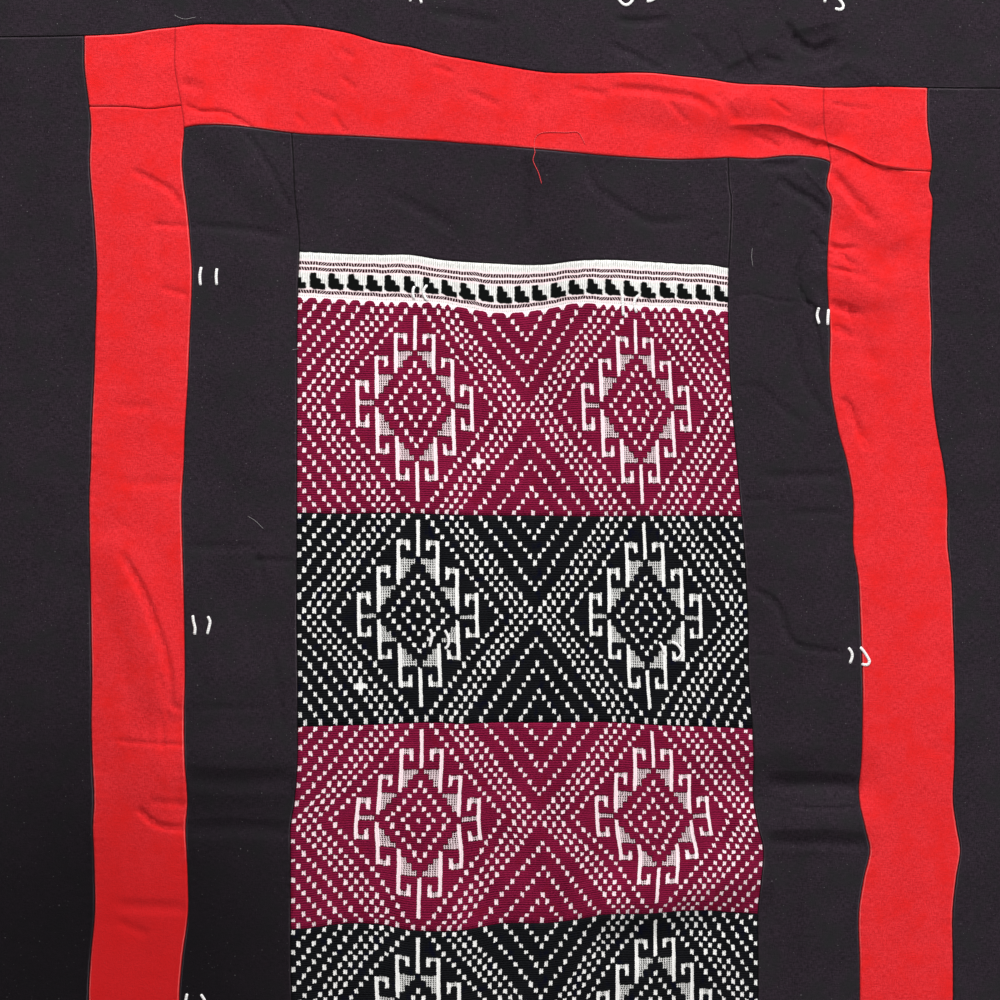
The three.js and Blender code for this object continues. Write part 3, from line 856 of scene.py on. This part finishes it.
# Stations from one line to another, closest at both ends and close in the picture: they lie at equal
# shares of the sum of 1 / step.
def stationsBetween(lines, first, last):
    start, *_, end = placesOf(lines, first, last)[0]
    fine = strip["fineAcross" if lines is columns else "fineDown"]
    distance = np.linspace(0, abs(end - start), int(abs(end - start) * strip["samples"]))
    place = start + np.sign(end - start) * distance
    step = np.where((place > fine[0]) & (place < fine[1]), strip["fineStep"], strip["coarseStep"])
    toEnd = np.minimum(distance, distance[-1] - distance)
    step = np.minimum(step, strip["seamStep"] + strip["seamGrowth"] * toEnd)
    total = np.concatenate([[0], np.cumsum(np.diff(distance) / step[1:])])
    count = math.ceil(total[-1] / strip["backEvery"]) * strip["backEvery"]
    return stationsAt(lines, first, last, np.interp(np.linspace(0, total[-1], count + 1), total, distance))


# A sheet's mean size across and down, along its surface.
def meanFlat(points):
    across, down = (np.linalg.norm(np.diff(points, axis=axis), axis=2).sum(axis).mean() for axis in (1, 0))
    return np.array([across, down])


# How far a piece's points lie from its four sides, where each runs along that side, and how strongly it
# is drawn in there: not at all at a hem, and little where red meets red beside the panel's corners.
def sideDistances(x, z, left, right, top, foot):
    redToRed = (z > rows["innerTop"](x)) | (z < rows["innerFoot"](x))
    sewn = [np.array([not name.startswith("edge")], float) for name in (left, right, top, foot)]
    for k, name in enumerate((left, right)):
        if name.startswith("inner"):
            sewn[k] = np.where(redToRed, strip["quiet"], 1)
    distances = (x - columns[left](z), columns[right](z) - x, rows[top](x) - z, z - rows[foot](x))
    return list(zip(distances, (z, z, x, x), sewn))


# At a seam the cloth rolls back by rollDepth (1 - d / roll)^2 behind a low ridge, and puckers in short
# waves near it.
def seamShape(x, sides, depth, salt):
    push = np.zeros_like(x)
    for distance, along, sewn in sides:
        near = np.clip(1 - distance / strip["roll"], 0, 1)
        push += depth * np.where(sewn, sewn, strip["hemRoll"]) * near ** 2
        ridge = strip["ridge"] * np.exp(-((distance - strip["ridgeAt"]) / strip["ridgeBreadth"]) ** 2)
        fade = np.exp(-np.maximum(distance, 0) / strip["puckerReach"])
        bend = strip["puckerBend"] * np.sin(along / strip["puckerBends"] + salt)
        turn = 2 * math.pi * along / strip["puckerLength"] + bend + salt
        strength = 0.5 + 0.5 * np.sin(along / strip["puckerSwells"] + 2 * salt)
        push += sewn * (strip["pucker"] * strength * fade * np.sin(turn) - ridge)
    return push


# Where the cloth's middle surface lies, with its seams drawn in, and its sides.
def surfaceAt(x, z, names, depth, salt, crumpling=1.0):
    sides = sideDistances(x, z, *names)
    return -clothHeight(x, z, crumpling) + seamShape(x, sides, depth, salt), sides


# The distance to the nearest full seam.
def seamDistance(sides):
    return np.minimum.reduce([np.where(sewn == 1, distance, 99) for distance, _, sewn in sides])


# The shade under a lap's drop: exp(-(d / lapShade)^2), where d is the distance to the lap's path, and in
# the same way a fainter one along the quiet seams.
def lapShade(x, z, sides):
    shade = np.zeros_like(x)
    for distance, _, sewn in sides:
        faint = np.where((sewn > 0) & (sewn < 1), strip["quietShade"], 0)
        shade = np.maximum(shade, faint * np.exp(-(distance / strip["quietReach"]) ** 2))
    for path in (path for _, _, kind, path in creasePaths if kind == "lap"):
        distance, _, share = nearestOn(path, x, z)
        shade = np.maximum(shade, np.exp(-(distance / strip["lapShade"]) ** 2) * (1 - (2 * share - 1) ** 8))
    return shade


def turnedBreadth(line):
    return strip["hem" if line.startswith("edge") else "allowance"]


# The turned-back allowance or hem behind each side of a strip, as a thin closed ribbon. Those across lie
# behind those down, so that they don't run into each other.
def turnedEdges(names, salt):
    ribbons = []
    groups = ((columns, *names[:2]), (rows, *names[2:]))
    runs = [abs(places[-1] - places[0]) for places, _ in (placesOf(*group) for group in groups)]
    for side, name in enumerate(names):
        own, other = (0, 1) if side < 2 else (1, 0)
        breadth = turnedBreadth(name)
        near = strip["allowanceFrom"] + np.array([0, breadth / 2, breadth])
        near = runs[own] - near[::-1] if side % 2 else near
        inset = np.linspace(0, runs[other], 2 + int(runs[other] / strip["allowanceStep"]))
        inset[0] += strip["allowanceInset"]
        inset[-1] -= strip["allowanceInset"]
        stations = [stationsAt(*groups[own], near), stationsAt(*groups[other], inset)]
        u, v = stations if own == 0 else stations[::-1]
        u, v = u[None, :], v[:, None]
        x, z = placeAt(u, v)
        layer = strip["allowanceGap"] + own * (strip["allowanceThickness"] + strip["allowanceGap"])
        y, _ = surfaceAt(x, z, names, strip["allowanceRoll"], salt)
        front = np.stack([x, y + strip["thickness"] / 2 + layer, z], 2)
        ribbons.append(closedCloth(front, front + [0, strip["allowanceThickness"], 0], 1))
    return ribbons


def makeStrips():
    every = strip["backEvery"]
    for salt, (name, *names) in enumerate(piece.split() for piece in stripPieces):
        slot = "red_cotton" if name.startswith("red") else "black_cotton"
        u, v = stationsBetween(columns, *names[:2]), stationsBetween(rows, *names[2:])
        x, z = placeAt(u[None, :], v[:, None])
        y, sides = surfaceAt(x, z, names, strip["rollDepth"], salt)
        seam, shade = seamDistance(sides), lapShade(x, z, sides)
        left, right, top, foot = (0 if line.startswith("edge") else strip["lap"] for line in names)
        x[:, 0] -= left
        x[:, -1] += right
        z[0] += top
        z[-1] -= foot
        front = np.stack([x, y - strip["thickness"] / 2, z], 2)
        cloth = closedCloth(front, front[::every, ::every] + [0, strip["thickness"], 0], every)
        points, faceSets = joinParts([cloth] + turnedEdges(names, salt))
        made = makeObject(name + "_cloth", points, faceSets, [redCotton if slot == "red_cotton" else blackCotton])
        near = np.concatenate([seam.ravel(), seam[::every, ::every].ravel()])
        setValues(made.data, "seam", np.pad(near, (0, len(points) - len(near)), constant_values=9))
        setValues(made.data, "lapShade", np.pad(shade.ravel(), (0, len(points) - shade.size)))
        turned = np.array([turnedBreadth(line) for line in names])
        declareCloth(name, meanFlat(front) + turned[::2] + turned[1::2])
        print(name, "triangles:", sum(len(faces) * (faces.shape[1] - 2) for faces in faceSets))


makeStrips()


# The woven panel's chart. Each motif is read from its own centre, i columns across and j rows down.
chart = {
    "firstColumn": -24, "lastColumn": 70, "motifPitch": 48, "lastRow": 16,
    "rings": (0, 3, 6, 17, 20, 22, 24),
    "ringsOutside": (27, 30, 33, 36, 39),  # towards the panel's sides
    "ringsBetween": (28, 32, 36, 40),  # between the two motifs
    # Hooks: the stem's column, its first and last row, and its comb's longest row, or a bar in the middle row.
    "hooks": ((4, 5, 11, 8), (8, 1, 7, 4), (12, 0, 3, None)),
    "centreBar": (9, 14),
    "slips": ((1, 13, 8), (2, -12, 11)),  # band, column and row of a plus-shaped mark
    "rowWander": 0.14,
}
bandTable = readTable("number topRow centreShare dark", [
    [1, -16, 0.481, 0], [2, -15, 0.487, 1], [3, -15, 0.467, 0], [4, -15, 0.484, 1], [5, -15, 0.484, 0],
])
# Where the motifs' centres and the axis between them stand, as shares of the panel's breadth.
columnShares = readTable("band left axis right", [
    [1, 0.273, 0.532, 0.785], [2, 0.270, 0.530, 0.774], [3, 0.273, 0.540, 0.781], [4, 0.272, 0.534, 0.780],
])


# White cells, solid stems and open combs, as three masks over the cells.
def chartCells(column, row, band):
    i = np.where(column > chart["motifPitch"] / 2, column - chart["motifPitch"], column)
    a, b = np.abs(i), np.abs(row)
    outside = (column < 0) | (column > chart["motifPitch"])
    white = np.isin(a + b, chart["rings"])
    white |= np.where(outside, np.isin(a + b, chart["ringsOutside"]), np.isin(a + b, chart["ringsBetween"]))
    solid = (a == 0) & (b >= chart["centreBar"][0]) & (b <= chart["centreBar"][1])
    comb = np.zeros_like(white)
    for stem, low, high, combRow in chart["hooks"]:
        solid |= (a == stem) & (b >= low) & (b <= high)
        comb |= (b == high) & (a > stem - 2) & (a < stem)
        white |= (a == stem - 2) & (b >= high - 1) & (b <= high)
        steps = [(0, 0)] if combRow is None else [(combRow - step, step) for step in range(3)]
        for combAt, step in steps:
            comb |= (b == combAt) & (a >= stem - 3 + step) & (a < stem)
    white |= solid | comb
    for slipBand, slipColumn, slipRow in chart["slips"]:
        if slipBand == band:
            white |= np.abs(column - slipColumn) + np.abs(row - slipRow) <= 1
    return white, solid, comb


# Column edges as shares of the panel's breadth, for each row station v of the layout.
def shareOfColumn(column, v):
    pitch = chart["motifPitch"]
    knots = [chart["firstColumn"] - 0.5, 0, pitch / 2, pitch, chart["lastColumn"] + 0.5]
    centres = indexOf(rows, "bandOne") + columnShares["band"] - 0.5
    share = np.interp(column, knots, [0, 0, 0, 0, 1])[None, :]
    for k, name in enumerate(("left", "axis", "right")):
        hat = np.interp(column, knots, np.eye(5)[k + 1])
        share = share + hat[None, :] * np.interp(v, centres, columnShares[name])[:, None]
    return share


# Row edges as shares of the band's height: uneven rows, with the centre row where the table puts it.
def shareOfRow(firstRow, centreShare):
    heights = 1 + chart["rowWander"] * rng.standard_normal(chart["lastRow"] - firstRow + 1)
    edges = np.concatenate([[0], np.cumsum(heights)]) / heights.sum()
    centre = (edges[-firstRow] + edges[-firstRow + 1]) / 2
    return np.interp(edges, [0, centre, 1], [0, centreShare, 1])


weave = {
    "cuts": (0, 0.18, 0.82),  # vertices within a cell, both ways
    "floatHeight": 0.46, "groove": 0.04, "stemHeight": 0.50, "dotHeight": 0.04,
    "thickness": 1.5,
    "rimRow": 0.002,  # a row so close to each end keeps the ends crisp
    "warp": 0.5,  # sideways wander of the columns
    "crumpling": 0.35,
    "rollDepth": 1.9,
}


# Spreads the values of the cell edges over finer cuts between them.
def subdivide(edges, cuts):
    fine = edges[:-1, None] + np.diff(edges)[:, None] * np.array(cuts)[None, :]
    return np.append(fine.ravel(), edges[-1])


# A value at the vertices from one per cell: inside a cell its own, and on an edge the lower neighbour's.
def spread(cells, count, axis):
    cells = np.moveaxis(cells, axis, 0)
    padded = np.concatenate([cells[:1], cells, cells[-1:]])
    edge = np.minimum(padded[:-1], padded[1:])
    fine = np.repeat(cells, count, axis=0)
    fine[::count] = edge[:-1]
    return np.moveaxis(np.concatenate([fine, edge[-1:]]), 0, axis)


def brocadeMaterial(name, look, reverse=False):
    newMaterial(name)
    u, v = uvOf("cells")
    cells = vector(u, v)
    white, solid, comb = split(attribute("kind", "Vector"))
    joinLeft, joinRight, rim = split(attribute("sideJoin", "Vector"))
    joinUp, joinDown, _ = split(attribute("endJoin", "Vector"))
    # The marks lean and wander a little, and their sides step with the ribs.
    lean = (1.0 - solid) * scaled(noise(cells, 0.23), 1.1, -0.55)
    serration = sine(v * (look["ribs"] * 2 * math.pi)) * 0.034
    fu = fract(u) + (scaled(noise(cells, 1.9), 0.20, -0.10) + scaled(fract(v) - 0.5, lean, serration))
    wobbleV = scaled(noise(vector(v, u, 7.0), 1.7), 0.20, -0.10)
    fv = fract(v) + wobbleV
    column, row = floor(u), floor(v)
    half = vector(scaled(over(fu, 0.5), 0.37, column), row, look["seed"])
    diceA, diceB, _ = split(dice("3D", half))
    cellDice = dice("3D", vector(column, row, look["seed"] + 3.0), "Value")
    # Each white mark is a pair of threads, with uneven ends unless the mark goes on in the next row.
    top = scaled(joinUp, -1.0, scaled(diceA, 0.20, 0.05))
    foot = joinDown + scaled(diceB, -0.20, 0.95)
    low = scaled(joinLeft, -0.5, scaled(cellDice, 0.06, 0.115))
    high = scaled(joinRight, 0.5, scaled(cellDice, -0.06, 0.875))
    toEnd = least(fv - top, foot - fv) * 6.5
    inside = least(least(fu - low, high - fu) * 4.7, toEnd)
    mark = ramp(inside, -0.22, 0.22) * white
    # The slit between the two threads shows at a mark's ends, and as specks in the open combs.
    slit = ramp(away(fu, 0.5), 0.11, 0.03) * ramp(toEnd, 1.5, 0.5)
    slit = slit * ((1.0 - most(solid, comb)) * over(cellDice, 0.30))
    halfway = away(fract(scaled(fu, 2.0, 0.5)), 0.5)
    third = away(fract(v * 3.0), 0.5)
    speck = ramp(halfway, 0.42, 0.30) * ramp(third, 0.46, 0.33) * comb * scaled(diceA, 0.35, 0.75)
    speck = least(speck, 1.0)
    mark = mark * (1.0 - slit * 0.85) * (1.0 - speck)
    # The top row's weft humps up between the header's pegs (rim is 2 on a peg, else 1): its edge is
    # 0.12 + 0.45 exp(-5 d), where d is the distance to the nearest peg.
    nearPeg = most(least(scaled(joinLeft, -9.0, fu + 9.0), scaled(joinRight, -9.0, 10.0 - fu)), 0.0) * (2.0 - rim)
    humpEdge = scaled(calc("EXPONENT", nearPeg * -5.0), 0.45, 0.12)
    mark = most(mark, least(rim, 1.0) * ramp(fv - humpEdge, 0.05, -0.05))
    if reverse:
        mark = 1.0 - mark
    # Fine ribs of weft to a row, with a faint wavy furrow between rows. The weft is painted darker between the
    # ribs and in the furrow, as their shade.
    ribWave = v + wobbleV * 0.8
    rib = absolute(sine(ribWave * (look["ribs"] * math.pi)))
    furrow = ramp(away(fract(ribWave), 0.5), 0.40, 0.5)
    fibre = noise(vector(u * 2.6, v * 12.0), 1, 3, 0.7)
    tone = scaled(rib, 0.60, scaled(fibre, 2.4, -1.25)) + scaled(noise(cells, 0.16, 3), 0.7, -0.15)
    tone = tone - furrow * 0.10
    weft = blend(ramp(tone, 0.0, 1.0), look["dark"], look["light"])
    weft = blend(ramp(noise(cells, 0.45), 0.55, 0.75), weft, look["patch"])
    # Painted shade: the weft darkens round each white mark, towards the edge colour, by rimShade.
    weft = blend(ramp(inside, -1.2, -0.3) * white * look["rimShade"], weft, look["edge"])
    weft = blend(speck * 0.85, weft, (0.012, 0.016, 0.013))  # near black: painted shade in the holes of a comb
    thread = blend(ramp(fibre, 0.30, 0.62), look["whiteDark"], look["white"])
    twist = absolute(sine(u * (2 * math.pi)))
    relief = Wire(node("ShaderNodeMix", {0: mark, 2: rib - furrow * 0.5, 3: twist}, data_type="FLOAT"))
    return finishSurface(blend(mark, weft, thread), relief + fibre * 0.7, 0.34, 0.95, 0.0, 0.04)


bandLooks = {
    "crimson": {
        "light": (0.275, 0.0105, 0.052), "dark": (0.055, 0.0018, 0.0105), "patch": (0.175, 0.005, 0.024),
        "edge": (0.075, 0.002, 0.012), "rimShade": 0.25, "white": (0.99, 0.86, 0.89),
        "whiteDark": (0.88, 0.60, 0.66), "seed": 1.0, "ribs": 3,
    },
    "black": {
        "light": (0.0105, 0.0110, 0.0130), "dark": (0.0012, 0.0014, 0.0020), "patch": (0.0030, 0.0034, 0.0105),
        "edge": (0.0016, 0.0018, 0.0022), "rimShade": 0.5, "white": (0.96, 0.96, 0.94),
        "whiteDark": (0.68, 0.68, 0.66), "seed": 5.0, "ribs": 3,
    },
}
bandMaterials = {
    name: (brocadeMaterial(name + "_brocade", look), brocadeMaterial(name + "_brocade_back", look, True))
    for name, look in bandLooks.items()
}
panelSides = ("panelLeft", "panelRight", "panelTop", "panelFoot")

# Where the weave is drawn aside: about each place, over spreads across and down, by so much each way.
drawn = readTable("x z across down byX byZ", [[137, -900, 75, 62, 0, -6], [20, -880, 70, 60, -3, 0]])


# The panel's places: layout stations to millimetres, with a slow sideways wander of the columns.
def panelPlaces(share, v):
    x, z = placeAt(indexOf(columns, "panelLeft") + share, v[:, None])
    inside = weave["warp"] * np.sin(math.pi * np.clip(share, 0, 1))
    x = x + inside * np.sin(z / 31 + 5 * share)
    z = z + inside * np.sin(x / 27 + z / 55)
    for centreX, centreZ, across, down, byX, byZ in zip(*drawn.values()):
        near = np.exp(-((x - centreX) / across) ** 2 - ((z - centreZ) / down) ** 2)
        x = x + byX * near
        z = z + byZ * near
    return x, z


# A sheet of the panel, with a back that has one face to every few in front, and its UV map of cells.
def makeWoven(name, front, back, every, materials, uv):
    points, faceSets = closedCloth(front, back, every)
    counts = [len(faces) for faces in faceSets]
    uv = np.concatenate([uv.reshape(-1, 2), uv[::every, ::every].reshape(-1, 2)])
    return makeObject(name, points, faceSets, materials, np.repeat([0, 1, 0], counts), "cells", uv), counts[2]


# A face attribute from cell arrays, repeated for the faces of each cell in front and its one face behind.
# The walls of the sheet take no part in the pattern.
def faceValues(values, wallCount):
    stack = np.stack(values, 2).astype(float)
    every = len(weave["cuts"])
    fine = np.repeat(np.repeat(stack, every, 0), every, 1)
    return np.concatenate([fine.reshape(-1, 3), stack.reshape(-1, 3), np.zeros((wallCount, 3))])


columnEdges = np.arange(chart["firstColumn"], chart["lastColumn"] + 2) - 0.5


def makeBand(number, topRow, centreShare, dark):
    every = len(weave["cuts"])
    rowEdges = np.arange(topRow, chart["lastRow"] + 2)
    white, solid, comb = chartCells((columnEdges[:-1] + 0.5)[None, :], rowEdges[:-1, None], number)
    fineColumn = subdivide(columnEdges, weave["cuts"])
    fineRow = subdivide(rowEdges.astype(float), weave["cuts"])
    v = indexOf(rows, "bandOne") + number - 1 + subdivide(shareOfRow(topRow, centreShare), weave["cuts"])
    for line in (v, fineRow):
        for edge, beside in ((0, 1), (-1, -2)):
            line[beside] = line[edge] + weave["rimRow"] * (line[beside] - line[edge])
    x, z = panelPlaces(shareOfColumn(fineColumn, v), v)
    # Relief: the coloured weft floats stand proud, single marks lie low, stems stand as cords.
    proud = np.where(solid, weave["stemHeight"], np.where(white, weave["dotHeight"], weave["floatHeight"]))
    relief = -spread(spread(-proud, every, 1), every, 0)
    joined = np.pad(np.repeat(np.repeat(white, every, 0), every, 1), ((0, 1), (0, 1)), "edge")
    relief[::every] -= weave["groove"] * ~joined[::every]
    y, _ = surfaceAt(x, z, panelSides, weave["rollDepth"], 0.5 + number, weave["crumpling"])
    front = np.stack([x, y - relief - weave["thickness"] / 2, z], 2)
    back = np.stack([x, y + weave["thickness"] / 2, z], 2)[::every, ::every]
    # Cell coordinates: whole numbers at the cells' corners, v growing downwards, and none below nought.
    uv = np.stack(np.meshgrid(fineColumn + 0.5 + 200, fineRow + 100), 2)
    look = "black" if dark else "crimson"
    made, wallCount = makeWoven(f"woven_band_{number:.0f}", front, back, every, bandMaterials[look], uv)
    grown = np.pad(white, 1)
    joinUp = white & grown[:-2, 1:-1]
    rim = np.zeros(white.shape)
    if number == 1:
        rim[0] = 1 + white[0]
        joinUp[0] = white[0]
    for name, values in (("kind", (white, solid, comb)), ("sideJoin", (grown[1:-1, :-2], grown[1:-1, 2:], rim)),
                         ("endJoin", (joinUp, white & grown[2:, 1:-1], rim))):
        setValues(made.data, name, faceValues(values, wallCount))
    declareCloth("woven_panel", meanFlat(np.stack([x, y, z], 2)))


for number, topRow, centreShare, dark in zip(*bandTable.values()):
    makeBand(number, int(topRow), centreShare, dark > 0)
print("bands made")


# The header: white ground with thin twined lines and a row of stepped figures.
header = {
    "lines": (11.2, 16.8, 39.8),  # each line's middle, below the header's top
    "lineHalf": 1.85, "lineEdge": (1.15, 0.75),  # a line fades out between these shares of its half breadth
    "dashPitch": 2.75, "haloFade": (5.4, 2.2),  # the pink ground beside a line
    "breadth": 429,
    "tightFrom": 180, "tighter": 0.0375,  # to the right of this the figures stand closer
    "figureStart": 10.6, "figurePitch": 18.75,
    # The steps of a figure: from, to across and from, to down.
    "steps": ((0, 6.8, 20.2, 34.6), (0, 11.2, 25.2, 34.6), (0, 15.8, 30.4, 34.6)),
    "footSlope": 0.5, "footDrop": 2.2,  # a figure's foot falls from its left corner
    "rounding": 3.2, "ribPitch": 2.2, "weftPitch": 1.3,
    "step": 1.6, "every": 3, "sunk": 0.2, "gather": 0.22,
}


# 1 inside a figure's step, which has rounded corners, falling to 0 over a soft edge.
def stepMask(x, y, left, right, top):
    inX = least(x - left, right - x)
    return ramp(calc("SMOOTH_MIN", inX, least(y - top, 99 - y), header["rounding"]), -0.5, 0.5)


def headerMaterial(name, reverse=False):
    newMaterial(name)
    u, v = uvOf("cells")
    wobbleU = scaled(noise(vector(u, v), 0.30), 2.4, -1.2)
    wobbleV = scaled(noise(vector(v, u, 3.0), 0.28), 2.4, -1.2)
    figureShare = (u - header["figureStart"] + wobbleU) / header["figurePitch"]
    diceA, diceB, diceC = split(dice("1D", floor(figureShare)))
    across = fract(figureShare) * header["figurePitch"] - scaled(diceA, 1.2, 0.2)
    y = v + wobbleV + scaled(diceB, 1.2, -0.6)
    bottom = y - least(across * header["footSlope"], header["footDrop"])
    reach = over(diceC, 0.78) * -2.2  # some figures' lowest step starts further left
    parts = []
    for index, (left, right, top, foot) in enumerate(header["steps"]):
        part = stepMask(across, y, reach if index == 2 else left, right, top)
        parts.append(least(part, ramp(foot - bottom, -0.5, 0.5)))
    figure = most(most(parts[0], parts[1]), parts[2])
    lean = scaled(noise(vector(u, 0.0), 0.06), 8.0, -4.0)
    undulation = scaled(noise(vector(u, 9.0), 0.07, 3), 3.2, -1.6)
    lineFade = [header["lineHalf"] * share for share in header["lineEdge"]]
    lines = halo = 0.0
    for middle in header["lines"]:
        off = v + undulation - middle
        dash = ramp(away(fract(scaled(off, lean, u) / header["dashPitch"]), 0.5), 0.45, 0.31)
        lines = most(lines, ramp(absolute(off), *lineFade) * scaled(dash, 0.85, 0.15))
        halo = most(halo, ramp(absolute(off), *header["haloFade"]))
    threadRib = absolute(sine(u * (math.pi / header["ribPitch"])))
    weftRib = absolute(sine(v * (math.pi / header["weftPitch"])))
    fibre = noise(vector(u * 0.9, v * 0.22), 1, 3, 0.7)
    # Painted shade: grey ticks in the gaps between the ground's warp threads.
    tick = ramp(threadRib, 0.80, 0.35) * ramp(fibre, 0.42, 0.56)
    ground = blend(ramp(fibre, 0.35, 0.62), (0.66, 0.66, 0.63), (0.92, 0.92, 0.90))
    ground = blend(tick * 0.72, ground, (0.15, 0.15, 0.15))
    ground = blend(halo * 0.85, ground, (0.98, 0.77, 0.80))
    colour = blend(lines, blend(figure, ground, (0.0042, 0.0050, 0.0046)), (0.022, 0.002, 0.006))
    if reverse:
        colour = blend(figure * 0.9, ground, (0.02, 0.02, 0.022))
    height = scaled(threadRib, 0.5, weftRib * 0.3) + scaled(figure, 0.8, fibre)
    return finishSurface(colour, height, 0.3, 0.95, 0.0, 0.04)


headerMaterials = [headerMaterial("header_weave"), headerMaterial("header_weave_back", True)]


def makeHeader(name, fromRow, toRow, turned):
    every = header["every"]
    start, end = indexOf(rows, fromRow), indexOf(rows, toRow)
    count = round(sizes["header"] / header["step"] / every) * every
    down = np.concatenate([[0], np.linspace(weave["rimRow"], 1 - weave["rimRow"], count - 1), [1]])
    v = start + (end - start) * down
    share = shareOfColumn(subdivide(columnEdges, (0, 0.33, 0.67)), v)
    x, z = panelPlaces(share, v)
    # Tiny gathers, where the ground is drawn in between the figures.
    gathers = header["gather"] * np.sin(x / 3.1 + 2 * np.sin(x / 37)) * np.sin(math.pi * down)[:, None]
    y, _ = surfaceAt(x, z, panelSides, weave["rollDepth"], 9.0, weave["crumpling"])
    front = np.stack([x, y + gathers - weave["thickness"] / 2 + header["sunk"], z], 2)
    back = front[::every, ::every] + [0, weave["thickness"] - header["sunk"], 0]
    drop = sizes["header"] * (down[::-1] if turned else down)
    across = share.mean(0) * header["breadth"]
    across = across + header["tighter"] * np.maximum(across - header["tightFrom"], 0)
    uv = np.stack(np.broadcast_arrays(across[None, :], drop[:, None]), 2)
    made, _ = makeWoven(name, front, back, every, headerMaterials, uv)
    declareCloth("woven_panel", meanFlat(front))


makeHeader("woven_header", "panelTop", "bandOne", False)
makeHeader("woven_header_foot", "footHeader", "panelFoot", True)
print("headers made")

floorLook = {"below": 160, "side": 5000}  # how far it lies below the cloth, and its half breadth


def makeFloor():
    newMaterial("floor")
    place = objectPlace()
    tone = blend(noise(place, 2.0, 3), (0.70, 0.69, 0.67), (0.78, 0.77, 0.75))
    material = finishSurface(tone, noise(place, 40, 3), 0.3, 0.8, 0.0)
    low = cadBox[0][2] - floorLook["below"] * mm
    side = floorLook["side"] * mm
    mesh = bpy.data.meshes.new("floor")
    corners = [(-side, side, low), (-side, -side, low), (side, -side, low), (side, side, low)]
    mesh.from_pydata(corners, [], [(0, 1, 2, 3)])
    mesh.materials.append(material)
    addObject("floor", mesh)


makeFloor()
